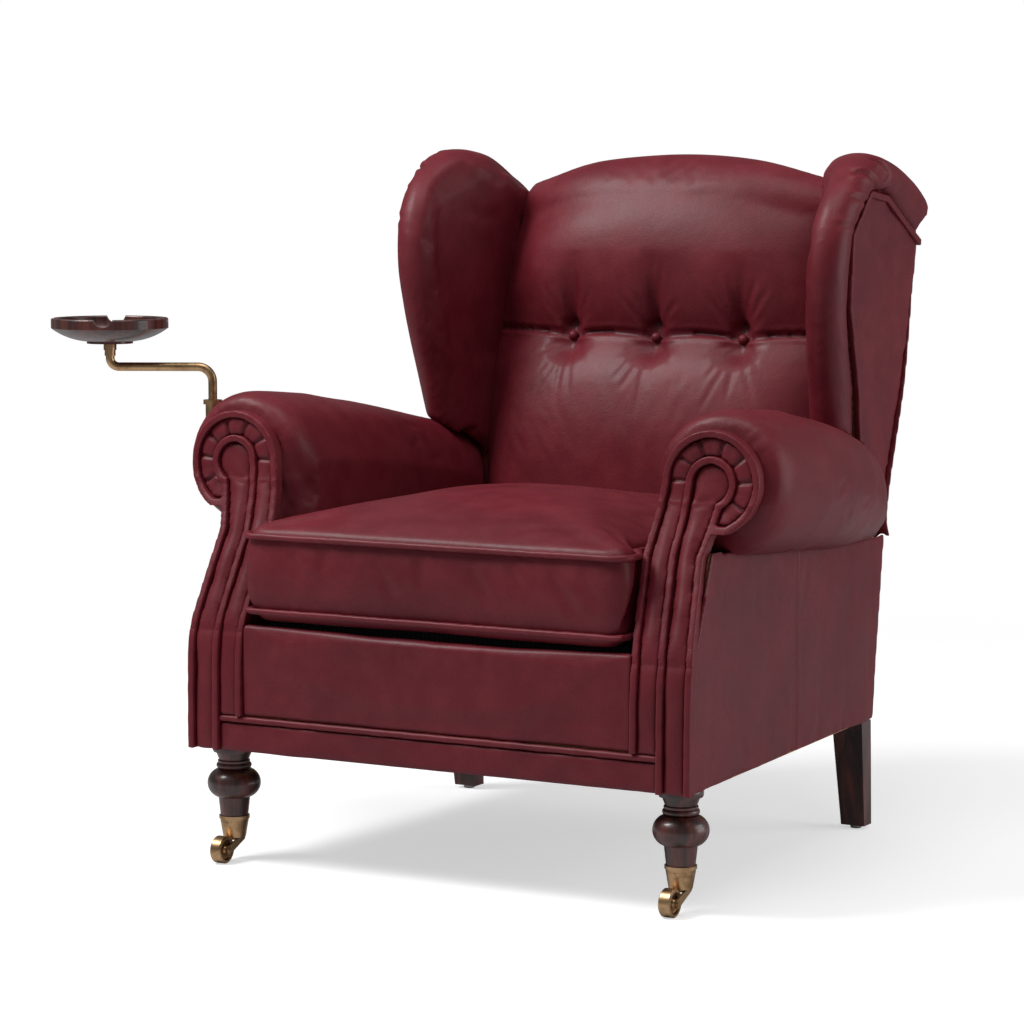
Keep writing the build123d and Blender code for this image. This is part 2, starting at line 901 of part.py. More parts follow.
def edge_share_at(x, shares):
    """A share that is given at stations across the back, between them in line."""
    way = abs(x) / back_half
    stations = list(zip(back_station_shares, shares))
    for (low_way, low), (high_way, high) in zip(stations, stations[1:]):
        if way <= high_way:
            break
    return between(low, high, share_of(way, low_way, high_way))


back_near = rear_frame_far + webbing_thick + 2 * rest_gap


def back_face_y(centre_y, z, x):
    """Depth of the inside back's face, which falls away towards the wings."""
    edge_y = rear_y_at(z) - back_near - back_edge_thick
    return between(centre_y, edge_y, edge_share_at(x, back_edge_shares))


def back_section(x):
    """Side view of the inside back at a distance from the middle."""
    top_z = crest_z - crest_drop * edge_share_at(x, crest_drop_shares)
    rail_z = crest_rail_top_z + seam_gap
    rear_low_z = top_z - crest_round_drop
    brow_z = top_z - brow_drop
    arc_y = between(lumbar_y, tuft_y, lumbar_arc_shares[0])
    arc_z = between(lumbar_z, tuft_z, lumbar_arc_shares[1])
    foot = (back_face_y(back_front_y, deck_low_z, x), deck_low_z)
    lumbar = (back_face_y(lumbar_y, lumbar_z, x), lumbar_z)
    tuft = (back_face_y(tuft_y, tuft_z, x), tuft_z)
    brow = (back_face_y(brow_y, brow_z, x), brow_z)
    rear_low = (rear_y_at(rear_low_z) - rear_frame_near, rear_low_z)
    peak = (between(brow[0], rear_low[0], crest_share), top_z)
    front_shoulder = (
        between(brow[0], peak[0], crest_arc_shares[0]),
        between(top_z, brow_z, crest_arc_shares[1]),
    )
    rear_shoulder = (
        between(rear_low[0], peak[0], crest_arc_shares[0]),
        between(top_z, rear_low_z, crest_arc_shares[1]),
    )
    with BuildSketch(Plane.YZ.offset(x)) as section:
        with BuildLine():
            Line(foot, lumbar)
            ThreePointArc(lumbar, (back_face_y(arc_y, arc_z, x), arc_z), tuft)
            ThreePointArc(tuft, (back_face_y(bulge_y, bulge_z, x), bulge_z), brow)
            ThreePointArc(brow, front_shoulder, peak)
            ThreePointArc(peak, rear_shoulder, rear_low)
            Polyline(
                rear_low,
                (rear_y_at(rail_z) - rear_frame_near, rail_z),
                *rear_path(deck_low_z, rail_z, back_near)[::-1],
                foot,
            )
        make_face()
    return section.sketch


def leaning_plane(x, splay, lean):
    """The plane whose half width grows with depth by splay and with height by lean."""
    return Plane(origin=(x, 0, 0), x_dir=(splay, 1, 0), z_dir=(1, -splay, -lean))


# Inside back with its tufting crease and dimples
with BuildPart() as inside_back:
    stations = [-share for share in back_station_shares[:0:-1]] + list(back_station_shares)
    loft(sections=[back_section(back_half * share) for share in stations])
    for side in (-1, 1):
        wing_side = leaning_plane(
            side * (wing_inner_x - seam_gap), side * wing_inner_splay, side * wing_inner_lean
        )
        split(bisect_by=wing_side, keep=Keep.BOTTOM if side > 0 else Keep.TOP)
    for index in (-1, 0, 1):
        dimple_x = index * button_spacing
        dimple_y = back_face_y(tuft_y, tuft_z, dimple_x) + dimple_depth - dimple_r
        with Locations((dimple_x, dimple_y, button_z)):
            Sphere(dimple_r, mode=Mode.SUBTRACT)
save(inside_back, "inside_back")

# Covered buttons in the dimples
with BuildPart() as back_buttons:
    for index in (-1, 0, 1):
        button_x = index * button_spacing
        centre_y = back_face_y(tuft_y, tuft_z, button_x) + dimple_depth - dimple_r
        seat_y = centre_y + sqrt(dimple_r**2 - (button_d / 2) ** 2) - seam_gap
        dome_y = seat_y - button_edge
        dome_r = ((button_d / 2) ** 2 + button_dome**2) / (2 * button_dome)
        dome_centre_y = dome_y - button_dome + dome_r
        half_angle = asin(button_d / 2 / dome_r) / 2
        with BuildSketch(Plane.XY.offset(button_z)) as button_half:
            with BuildLine():
                Polyline(
                    (button_x, dome_y - button_dome),
                    (button_x, seat_y),
                    (button_x + button_d / 2, seat_y),
                    (button_x + button_d / 2, dome_y),
                )
                ThreePointArc(
                    (button_x + button_d / 2, dome_y),
                    (button_x + dome_r * sin(half_angle), dome_centre_y - dome_r * cos(half_angle)),
                    (button_x, dome_y - button_dome),
                )
            make_face()
        revolve(button_half.sketch, axis=Axis((button_x, seat_y, button_z), (0, 1, 0)))
save(back_buttons, "back_buttons")


def wing_point(depth_share, height_share):
    """A point of the wing's outline seen from the side."""
    return (
        wing_front_y + (wing_depth * depth_share),
        between(wing_low_z, wing_high_z, height_share),
    )


def easy_radii(points):
    """The largest even bend at each corner of a line."""
    radii = []
    for before, corner, after in zip(points, points[1:], points[2:]):
        arriving = Vector(*corner) - Vector(*before)
        leaving = Vector(*after) - Vector(*corner)
        half_turn = radians(arriving.get_angle(leaving)) / 2
        radii.append(easy_bend_share * min(arriving.length, leaving.length) * cos(half_turn) / sin(half_turn))
    return radii


def panel_face(grow, x):
    """The outer wing panel's outline, grown by an amount."""
    points = [wing_point(*shares) for shares in wing_panel_shares]
    low_z = panel_rear_top_z - overrun
    with BuildSketch(Plane.YZ.offset(x)) as face:
        with BuildLine():
            Polyline(*points, (points[-1][0], low_z), (points[0][0], low_z), close=True)
        make_face()
        if grow != 0:
            offset(amount=grow, kind=Kind.INTERSECTION, mode=Mode.REPLACE)
    return face.sketch


def wing_limits(inset):
    """Side view of the space in front of the back's outer line, above the arm panel."""
    front_y_limit = wing_front_y - overrun
    return side_face(
        rear_path(panel_rear_top_z + seam_gap, crest_z + overrun, inset)
        + [
            (front_y_limit, crest_z + overrun),
            (front_y_limit, wing_low_z),
            (roll_rear_y + seam_gap, wing_low_z),
            (roll_rear_y + seam_gap, panel_rear_top_z + seam_gap),
        ],
        wing_cut_low_x,
    )


wing_cut_low_x = arm_inner_x - overrun
wing_cut_span = 2 * overrun + roll_x - arm_inner_x + roll_r


def outer_plane(inset):
    """The wing's outer plane moved in by an inset."""
    return leaning_plane(wing_outer_x - inset, wing_outer_splay, wing_outer_lean)


# Wing boards, let into the pads behind the outer panels
board_near = panel_thick + seam_gap
board_far = board_near + wing_board_thick
with BuildPart() as wing_board:
    across(panel_face(0, wing_cut_low_x), wing_cut_span)
    across(wing_limits(rear_frame_far + seam_gap), wing_cut_span, Mode.INTERSECT)
    split(bisect_by=outer_plane(board_near), keep=Keep.BOTTOM)
    split(bisect_by=outer_plane(board_far), keep=Keep.TOP)
    add(arm_pad.part, mode=Mode.SUBTRACT)
save_pair(wing_board, "wing_board")

# Outer wing panels
with BuildPart() as wing_outer_panel:
    across(panel_face(0, wing_cut_low_x), wing_cut_span)
    across(wing_limits(rear_frame_near), wing_cut_span, Mode.INTERSECT)
    split(bisect_by=outer_plane(0), keep=Keep.BOTTOM)
    split(bisect_by=outer_plane(panel_thick), keep=Keep.TOP)
    add(arm_pad.part, mode=Mode.SUBTRACT)
save_pair(wing_outer_panel, "wing_outer_panel")

# Cords round the outer wing panels
with BuildPart() as wing_piping:
    across(panel_face(cord_d, wing_cut_low_x), wing_cut_span)
    across(panel_face(seam_gap, wing_cut_low_x), wing_cut_span, Mode.SUBTRACT)
    across(wing_limits(rear_frame_near), wing_cut_span, Mode.INTERSECT)
    split(bisect_by=outer_plane(-cord_proud), keep=Keep.BOTTOM)
    split(bisect_by=outer_plane(panel_thick), keep=Keep.TOP)
    add(arm_pad.part, mode=Mode.SUBTRACT)
save_pair(wing_piping, "wing_piping")

# Wing pads: a padded plate with a rolled edge, and a recess for board and panel
wing_line = [wing_point(*shares) for shares in wing_roll_shares]
lean_stretch = sqrt(1 + wing_inner_lean**2)
with BuildPart() as wing_recess:
    across(panel_face(cord_d + seam_gap, wing_cut_low_x), wing_cut_span)
    split(bisect_by=outer_plane(board_far + seam_gap), keep=Keep.TOP)
with BuildPart() as wing_pad:
    plate_side = side_face(
        wing_line
        + rear_path(panel_rear_top_z + seam_gap, wing_line[-1][1], rear_frame_near)[::-1]
        + [(roll_rear_y + seam_gap, panel_rear_top_z + seam_gap), (roll_rear_y + seam_gap, wing_low_z)],
        wing_cut_low_x,
    )
    across(plate_side, wing_cut_span)
    split(bisect_by=leaning_plane(wing_inner_x, wing_inner_splay, wing_inner_lean), keep=Keep.TOP)
    split(bisect_by=outer_plane(0), keep=Keep.BOTTOM)
    roll_plane = Plane(origin=(wing_roll_x, 0, 0), x_dir=(0, 1, 0), z_dir=(1, 0, -wing_inner_lean))
    roll_points = [(y, z * lean_stretch) for y, z in wing_line]
    with BuildLine(roll_plane) as wing_edge:
        FilletPolyline(*roll_points, radius=easy_radii(roll_points))
    with BuildSketch(Plane(origin=wing_edge.line @ 0, z_dir=wing_edge.line % 0)):
        Circle(wing_roll_r)
    sweep(path=wing_edge.line)
    add(wing_recess.part, mode=Mode.SUBTRACT)
    frame_zone = rear_strip(
        panel_rear_top_z,
        crest_rail_top_z + seam_gap,
        rear_frame_near - seam_gap,
        back_near,
        wing_cut_low_x,
    )
    across(frame_zone, back_post_inner_x + back_post_wide + seam_gap - wing_cut_low_x, Mode.SUBTRACT)
    add(arm_pad.part, mode=Mode.SUBTRACT)
save_pair(wing_pad, "wing_pad")

# Outside back, under the crest's roll and between the wings
crest_seam_z = crest_z - crest_round_drop - seam_gap
side_seam_z = crest_seam_z - crest_drop
back_low_half = outer_x_at(rear_y_at(panel_rear_top_z)) - side_lining
back_high_half = wing_outer_x + wing_outer_splay * rear_y + wing_outer_lean * side_seam_z
with BuildPart() as outside_back:
    with BuildSketch(Plane.XZ) as back_outline:
        with BuildLine():
            Polyline(
                (back_high_half, side_seam_z),
                (back_high_half, panel_rear_top_z + seam_gap),
                (back_low_half, panel_rear_top_z + seam_gap),
                (back_low_half, base_z),
                (-back_low_half, base_z),
                (-back_low_half, panel_rear_top_z + seam_gap),
                (-back_high_half, panel_rear_top_z + seam_gap),
                (-back_high_half, side_seam_z),
            )
            ThreePointArc((-back_high_half, side_seam_z), (0, crest_seam_z), (back_high_half, side_seam_z))
        make_face()
    extrude(back_outline.sketch, amount=rear_y + 2 * back_lean, dir=(0, 1, 0))
    across(
        rear_strip(base_z, crest_z, 0, cover_thick, -cut_high_x),
        2 * cut_high_x,
        Mode.INTERSECT,
    )
    add(wing_pad.part, mode=Mode.SUBTRACT)
    mirror(wing_pad.part, about=Plane.YZ, mode=Mode.SUBTRACT)
save(outside_back, "outside_back")


def cushion_line(inset):
    """Corner points and bends of the cushion's outline, drawn in by an inset."""
    front_half = cushion_front_half - inset
    rear_half = cushion_rear_half - inset
    ear = cushion_ear_y - inset
    right = [
        (front_half, cushion_front_y + inset),
        (front_half, ear),
        (rear_half, ear),
        (rear_half, cushion_rear_y - inset),
    ]
    corner_r = cushion_corner_r - inset
    ease = inset * cushion_ease_share
    bends = [corner_r, cushion_ear_r - ease, cushion_nook_r + ease, corner_r]
    left = [(-x, y) for x, y in right]
    return right + left[::-1], bends + bends[::-1]


def cushion_section(z, inset, size_share=1):
    """The cushion's cross-section at a height, drawn in and then made smaller."""
    points, bends = cushion_line(inset)
    middle_y = (cushion_front_y + cushion_rear_y) / 2
    points = [(x * size_share, between(middle_y, y, size_share)) for x, y in points]
    with BuildSketch(Plane.XY.offset(z)) as section:
        with BuildLine():
            FilletPolyline(*points, radius=[bend * size_share for bend in bends], close=True)
        make_face()
    return section.sketch


# Seat cushion: a boxed body drawn in at its cords, under a crowned top
cushion_low_z = deck_top_z + rest_gap
crown_low_z = cushion_low_z + cushion_tall * boxing_shares[-1][0]
rim_inset = cord_d * boxing_shares[-1][1]
with BuildPart() as seat_cushion:
    boxing = [
        cushion_section(cushion_low_z + cushion_tall * height, cord_d * draw)
        for height, draw in boxing_shares
    ]
    loft(sections=boxing, ruled=True)
    crown = [
        cushion_section(between(crown_low_z, cushion_low_z + cushion_tall, height), rim_inset, size_share)
        for height, size_share in crown_shares
    ]
    loft(sections=crown, ruled=True)
save(seat_cushion, "seat_cushion")

# Cords round the cushion
with BuildPart() as cushion_piping:
    points, bends = cushion_line(cord_d / 2)
    for height in cord_height_shares:
        with BuildLine(Plane.XY.offset(cushion_low_z + cushion_tall * height)) as cord_line:
            FilletPolyline(*points, radius=bends, close=True)
        cord_start = cord_line.wire() @ 0
        with BuildSketch(Plane(origin=cord_start, z_dir=cord_line.wire() % 0)):
            Circle(cord_d / 2)
        sweep(path=cord_line.wire())
save(cushion_piping, "cushion_piping")


def turned(points, x, y):
    """A face beside an upright axis, for turning."""
    with BuildSketch(Plane(origin=(x, y, 0), x_dir=(1, 0, 0), z_dir=(0, -1, 0))) as face:
        with BuildLine():
            Polyline(*points, close=True)
        make_face()
    return face.sketch


def leg_z(share):
    """Height of a turning on the front leg, a share of the way down."""
    return between(base_z, leg_foot_z, share)


# Turned front legs
with BuildPart() as front_leg:
    leg_plane = Plane(origin=(front_leg_x, front_leg_y, 0), x_dir=(1, 0, 0), z_dir=(0, -1, 0))
    with BuildSketch(leg_plane) as leg_half:
        with BuildLine():
            neck_r = leg_neck_d / 2
            disc_r = leg_disc_d / 2
            ring_r = between(neck_r, disc_r, leg_ring_share)
            bead_r = between(neck_r, disc_r, 2 * leg_ring_share)
            Polyline((0, leg_tip_z), (0, base_z), (disc_r, base_z))
            ThreePointArc(
                (disc_r, base_z),
                (disc_r * (1 + leg_disc_share / 4), leg_z(leg_disc_share / 2)),
                (disc_r, leg_z(leg_disc_share)),
            )
            Polyline(
                (disc_r, leg_z(leg_disc_share)),
                (disc_r * leg_cone_share, leg_z(leg_disc_share)),
                (neck_r, leg_z(leg_neck_share)),
                (ring_r, leg_z(leg_neck_share)),
                (ring_r, leg_z(leg_ring_share)),
                (neck_r, leg_z(leg_ring_share)),
            )
            ThreePointArc(
                (neck_r, leg_z(leg_ring_share)),
                (bead_r, leg_z(leg_bead_share)),
                (neck_r, leg_z(leg_collar_share)),
            )
            ThreePointArc(
                (neck_r, leg_z(leg_collar_share)),
                (leg_bulb_d / 2, leg_z(leg_bulb_share)),
                (leg_ankle_d / 2, leg_z(leg_ankle_share)),
            )
            Polyline(
                (leg_ankle_d / 2, leg_z(leg_ankle_share)),
                (leg_foot_d / 2, leg_foot_z),
                (leg_tip_d / 2, leg_tip_z),
                (0, leg_tip_z),
            )
        make_face()
    revolve(leg_half.sketch, axis=Axis((front_leg_x, front_leg_y, 0), (0, 0, 1)))
save_pair(front_leg, "front_leg")

# Rear legs, square and kicked back, with glides
with BuildPart() as rear_leg:
    with BuildSketch(Plane.XY.offset(base_z)) as leg_top:
        with Locations((rear_leg_x, rear_leg_top_y)):
            Rectangle(rear_leg_top_wide, rear_leg_top_deep)
    with BuildSketch(Plane.XY.offset(glide_tall)) as leg_foot:
        with Locations((rear_leg_x, rear_leg_foot_y)):
            Rectangle(rear_leg_foot_wide, rear_leg_foot_deep)
    loft(sections=[leg_foot.sketch, leg_top.sketch])
save_pair(rear_leg, "rear_leg")
with BuildPart() as rear_glides:
    with BuildSketch():
        with Locations((rear_leg_x, rear_leg_foot_y), (-rear_leg_x, rear_leg_foot_y)):
            Circle(glide_d / 2)
    extrude(amount=glide_tall)
    fillet(rear_glides.edges().filter_by(GeomType.CIRCLE).group_by(Axis.Z)[0], radius=glide_tall / 4)
save(rear_glides, "rear_glides")

# Brass ferrules: cups on the legs' tips, with a bore for the caster's stem
ferrule_top_z = leg_foot_z
ferrule_seat_z = ferrule_low_z + ferrule_floor
cup_z = leg_tip_z - rest_gap
stem_bore_r = stem_d / 2 + running_gap
lip_r = ferrule_lip_d / 2
with BuildPart() as caster_ferrule:
    cup = [
        (stem_bore_r, ferrule_low_z),
        (ferrule_low_d / 2, ferrule_low_z),
        (leg_foot_d / 2 + ferrule_wall / 2, ferrule_top_z - ferrule_lip_tall),
        (lip_r, ferrule_top_z - ferrule_lip_tall),
        (lip_r, ferrule_top_z),
        (leg_foot_d / 2 + seam_gap, ferrule_top_z),
        (leg_tip_d / 2 + seam_gap, leg_tip_z),
        (leg_tip_d / 2 - ferrule_wall, cup_z),
        (stem_head_d / 2 + stem_head_room, cup_z),
        (stem_head_d / 2 + stem_head_room, ferrule_seat_z),
        (stem_bore_r, ferrule_seat_z),
    ]
    revolve(turned(cup, front_leg_x, front_leg_y), axis=Axis((front_leg_x, front_leg_y, 0), (0, 0, 1)))
save_pair(caster_ferrule, "caster_ferrule")

# Pins that hold the ferrules
ferrule_slope_share = share_of(pin_z + pin_d / 2, ferrule_low_z, ferrule_top_z - ferrule_lip_tall)
pin_start_r = between(ferrule_low_d / 2, leg_foot_d / 2 + ferrule_wall / 2, ferrule_slope_share)
with BuildPart() as ferrule_pins:
    for side in (-1, 1):
        with BuildSketch(Plane.XZ.offset(-front_leg_y + pin_start_r)) as pin_face:
            with Locations((side * front_leg_x, pin_z)):
                Circle(pin_d / 2)
        forward(pin_face.sketch, pin_proud)
save(ferrule_pins, "ferrule_pins")

# Caster horns: swivel plate and stem, with two arms that trail to the axle
wheel_y = front_leg_y - caster_trail
wheel_z = wheel_d / 2
plate_top_z = ferrule_low_z - rest_gap
plate_mid_z = plate_top_z - plate_thick / 2
head_low_z = ferrule_seat_z + rest_gap
arm_low_x = wheel_hub_wide / 2 + fork_gap
crown_half_deep = plate_d / 3
leg_axis = Axis((front_leg_x, front_leg_y, 0), (0, 0, 1))
with BuildPart() as caster_horn:
    swivel = [
        (0, plate_top_z - plate_thick),
        (plate_d / 2, plate_top_z - plate_thick),
        (plate_d / 2, plate_top_z),
        (stem_d / 2, plate_top_z),
        (stem_d / 2, head_low_z),
        (stem_head_d / 2, head_low_z),
        (stem_head_d / 2, head_low_z + stem_head_thick),
        (0, head_low_z + stem_head_thick),
    ]
    revolve(turned(swivel, front_leg_x, front_leg_y), axis=leg_axis)
    block(
        (front_leg_x - arm_low_x - fork_thick, front_leg_x + arm_low_x + fork_thick),
        (front_leg_y - crown_half_deep, front_leg_y + crown_half_deep),
        (plate_top_z - plate_thick, plate_top_z),
    )
    for low_x in (front_leg_x - arm_low_x - fork_thick, front_leg_x + arm_low_x):
        with BuildSketch(Plane.YZ.offset(low_x)) as arm_side:
            with Locations((wheel_y, wheel_z)):
                Circle(fork_eye_d / 2)
            with Locations((front_leg_y, plate_mid_z)):
                Rectangle(2 * crown_half_deep, plate_thick)
            make_hull()
        across(arm_side.sketch, fork_thick)
    with BuildSketch(Plane.YZ.offset(front_leg_x - arm_low_x - fork_thick)) as axle_hole:
        with Locations((wheel_y, wheel_z)):
            Circle(axle_d / 2 + running_gap)
    across(axle_hole.sketch, 2 * (arm_low_x + fork_thick), Mode.SUBTRACT)
save_pair(caster_horn, "caster_horn")

# Caster wheels, dished on both faces
rim_half = wheel_wide / 2
web_half = rim_half - wheel_dish
rim_inner_r = wheel_d / 2 - wheel_rim_deep
bore_r = axle_d / 2 + running_gap
wheel_half_line = [
    (wheel_hub_wide / 2, bore_r),
    (wheel_hub_wide / 2, wheel_hub_d / 2 - wheel_dish / 2),
    (web_half, wheel_hub_d / 2),
    (web_half, rim_inner_r - wheel_dish / 2),
    (rim_half, rim_inner_r),
    (rim_half, wheel_d / 2 - wheel_round),
    (rim_half - wheel_round, wheel_d / 2),
]
with BuildPart() as caster_wheel:
    wheel_points = [(x, r) for x, r in wheel_half_line] + [(-x, r) for x, r in wheel_half_line[::-1]]
    wheel_plane = Plane(origin=(front_leg_x, wheel_y, wheel_z), x_dir=(1, 0, 0), z_dir=(0, -1, 0))
    with BuildSketch(wheel_plane) as wheel_half:
        with BuildLine():
            Polyline(*wheel_points, close=True)
        make_face()
    revolve(wheel_half.sketch, axis=Axis((front_leg_x, wheel_y, wheel_z), (1, 0, 0)))
save_pair(caster_wheel, "caster_wheel")

# Caster axles with riveted heads
axle_half = arm_low_x + fork_thick + running_gap
with BuildPart() as caster_axle:
    axle_points = [
        (0, 0),
        (axle_half + axle_head_thick, 0),
        (axle_half + axle_head_thick, axle_head_d / 2 - axle_head_thick / 2),
        (axle_half + axle_head_thick / 2, axle_head_d / 2),
        (axle_half, axle_head_d / 2),
        (axle_half, axle_d / 2),
        (0, axle_d / 2),
    ]
    with BuildSketch(wheel_plane) as axle_side:
        with BuildLine():
            Polyline(*axle_points, close=True)
        make_face()
        mirror(about=Plane.YZ)
    revolve(axle_side.sketch, axis=Axis((front_leg_x, wheel_y, wheel_z), (1, 0, 0)))
save_pair(caster_axle, "caster_axle")


def roll_core(grow):
    """A stretch of the left arm's roll beside the socket, grown by an amount."""
    ends = []
    reach = saddle_half_deep + seam_gap
    for y in (socket_y - reach, socket_y + reach):
        with BuildSketch(Plane.XZ.offset(-y)) as end:
            with Locations((-roll_x_at(y), roll_z_at(y))):
                Circle(roll_half_at(y) + grow)
        ends.append(end.sketch)
    return ends


# Socket bracket: a saddle on the roll's outer side, a web and the socket tube
saddle_out_r = roll_r + seam_gap + saddle_thick
saddle_low_x = -roll_x - saddle_out_r - overrun
saddle_high_x = -roll_x - roll_r / 2
with BuildPart() as saddle:
    loft(sections=roll_core(seam_gap + saddle_thick), ruled=True)
    block(
        (saddle_low_x, saddle_high_x),
        (socket_y - saddle_half_deep, socket_y + saddle_half_deep),
        (saddle_low_z, saddle_top_z),
        Mode.INTERSECT,
    )
with BuildPart() as arm_bracket:
    add(saddle.part)
    block(
        (socket_x, saddle_high_x),
        (socket_y - web_half_deep, socket_y + web_half_deep),
        (saddle_low_z, saddle_top_z),
    )
    loft(sections=roll_core(seam_gap), ruled=True, mode=Mode.SUBTRACT)
    tube = [
        (0, socket_low_z),
        (socket_r, socket_low_z),
        (socket_r, socket_top_z - socket_ring_tall),
        (socket_ring_r, socket_top_z - socket_ring_tall),
        (socket_ring_r, socket_top_z),
        (0, socket_top_z),
    ]
    socket_axis = Axis((socket_x, socket_y, 0), (0, 0, 1))
    revolve(turned(tube, socket_x, socket_y), axis=socket_axis)
    bore = [
        (0, socket_low_z + socket_floor),
        (rod_d / 2 + running_gap, socket_low_z + socket_floor),
        (rod_d / 2 + running_gap, socket_top_z + overrun),
        (0, socket_top_z + overrun),
    ]
    revolve(turned(bore, socket_x, socket_y), axis=socket_axis, mode=Mode.SUBTRACT)
    for side in (-1, 1):
        with BuildSketch(Plane.YZ.offset(saddle_low_x)) as screw_hole:
            with Locations((socket_y + side * screw_y, roll_z_at(socket_y))):
                Circle(screw_d / 2 + running_gap)
        across(screw_hole.sketch, saddle_high_x - saddle_low_x, Mode.SUBTRACT)
save(arm_bracket, "arm_bracket")

# Screws of the saddle
with BuildPart() as bracket_screws:
    for side in (-1, 1):
        near_y = socket_y + side * screw_y
        outer_x = -roll_x_at(near_y + screw_head_d / 2) - roll_half_at(near_y) - seam_gap - saddle_thick
        head_x = outer_x - running_gap
        for radius, low_x, high_x in (
            (screw_head_d / 2, head_x - screw_head_thick, head_x),
            (screw_d / 2, head_x, head_x + saddle_thick),
        ):
            with BuildSketch(Plane.YZ.offset(low_x)) as screw_end:
                with Locations((near_y, roll_z_at(socket_y))):
                    Circle(radius)
            across(screw_end.sketch, high_x - low_x)
save(bracket_screws, "bracket_screws")

# Cranked rod
crank = Vector(tray_x - socket_x, tray_y - socket_y)
rod_low_z = socket_low_z + socket_floor + rest_gap
rod_plane = Plane(
    origin=(socket_x, socket_y, 0), x_dir=(crank.X, crank.Y, 0), z_dir=(crank.Y, -crank.X, 0)
)
with BuildPart() as swing_rod:
    rod_points = [(0, rod_low_z), (0, rod_run_z), (crank.length, rod_run_z), (crank.length, rod_top_z)]
    with BuildLine(rod_plane) as rod_line:
        FilletPolyline(*rod_points, radius=[rod_low_bend_r, rod_high_bend_r])
    with BuildSketch(Plane.XY.offset(rod_low_z)) as rod_end:
        with Locations((socket_x, socket_y)):
            Circle(rod_d / 2)
    sweep(sections=rod_end.sketch, path=rod_line.wire())
save(swing_rod, "swing_rod")

# Collar that turns on the rod's top
tray_axis = Axis((tray_x, tray_y, 0), (0, 0, 1))
collar_bore_r = rod_d / 2 + running_gap
with BuildPart() as tray_collar:
    collar = [
        (collar_bore_r, collar_low_z),
        (collar_step_d / 2, collar_low_z),
        (collar_step_d / 2, collar_step_z),
        (collar_d / 2, collar_step_z),
        (collar_d / 2, collar_top_z),
        (0, collar_top_z),
        (0, rod_top_z + rest_gap),
        (collar_bore_r, rod_top_z + rest_gap),
    ]
    revolve(turned(collar, tray_x, tray_y), axis=tray_axis)
save(tray_collar, "tray_collar")

# Turned tray with four notches in its rim
tray_top_z = collar_top_z + tray_tall
tray_floor_z = collar_top_z + tray_floor_thick
bowl_r = tray_d / 2 - tray_rim_wide
tray_foot_r = tray_d / 2 * tray_foot_share
with BuildPart() as tray:
    with BuildSketch(Plane(origin=(tray_x, tray_y, 0), x_dir=(1, 0, 0), z_dir=(0, -1, 0))) as tray_half:
        with BuildLine():
            Polyline(
                (0, tray_floor_z),
                (0, collar_top_z),
                (tray_foot_r, collar_top_z),
                (tray_foot_r, collar_top_z + tray_foot_tall),
            )
            ThreePointArc(
                (tray_foot_r, collar_top_z + tray_foot_tall),
                (
                    between(tray_foot_r, tray_d / 2, tray_belly_shares[0]),
                    between(collar_top_z, tray_top_z - tray_rim_tall, tray_belly_shares[1]),
                ),
                (tray_d / 2, tray_top_z - tray_rim_tall),
            )
            Polyline(
                (tray_d / 2, tray_top_z - tray_rim_tall),
                (tray_d / 2, tray_top_z),
                (bowl_r, tray_top_z),
            )
            ThreePointArc(
                (bowl_r, tray_top_z),
                (bowl_r * tray_bowl_shares[0], between(tray_floor_z, tray_top_z, tray_bowl_shares[1])),
                (bowl_r * tray_flat_share, tray_floor_z),
            )
            Line((bowl_r * tray_flat_share, tray_floor_z), (0, tray_floor_z))
        make_face()
    revolve(tray_half.sketch, axis=tray_axis)
    fillet(tray.edges().filter_by(GeomType.CIRCLE).group_by(Axis.Z)[-1], radius=tray_edge_r)
    for index in range(tray_notch_count):
        turn = radians(tray_notch_turn + index * 360 / tray_notch_count)
        notch_plane = Plane(
            origin=(tray_x, tray_y, tray_top_z - tray_notch_deep + tray_notch_r),
            z_dir=(cos(turn), sin(turn), 0),
        )
        with BuildSketch(notch_plane.offset(bowl_r * tray_flat_share)) as notch:
            Circle(tray_notch_r)
        extrude(notch.sketch, amount=tray_d / 2, mode=Mode.SUBTRACT)
save(tray, "tray")
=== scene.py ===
"""Wing armchair in oxblood leather, with turned front legs on casters and a tray that swings over one arm.

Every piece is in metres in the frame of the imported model: X to the right of someone who faces the chair,
Y to its back, Z up from the floor.
"""

import json
import logging
import math
from dataclasses import dataclass, field
from enum import Enum
from typing import Callable, Protocol, Sequence

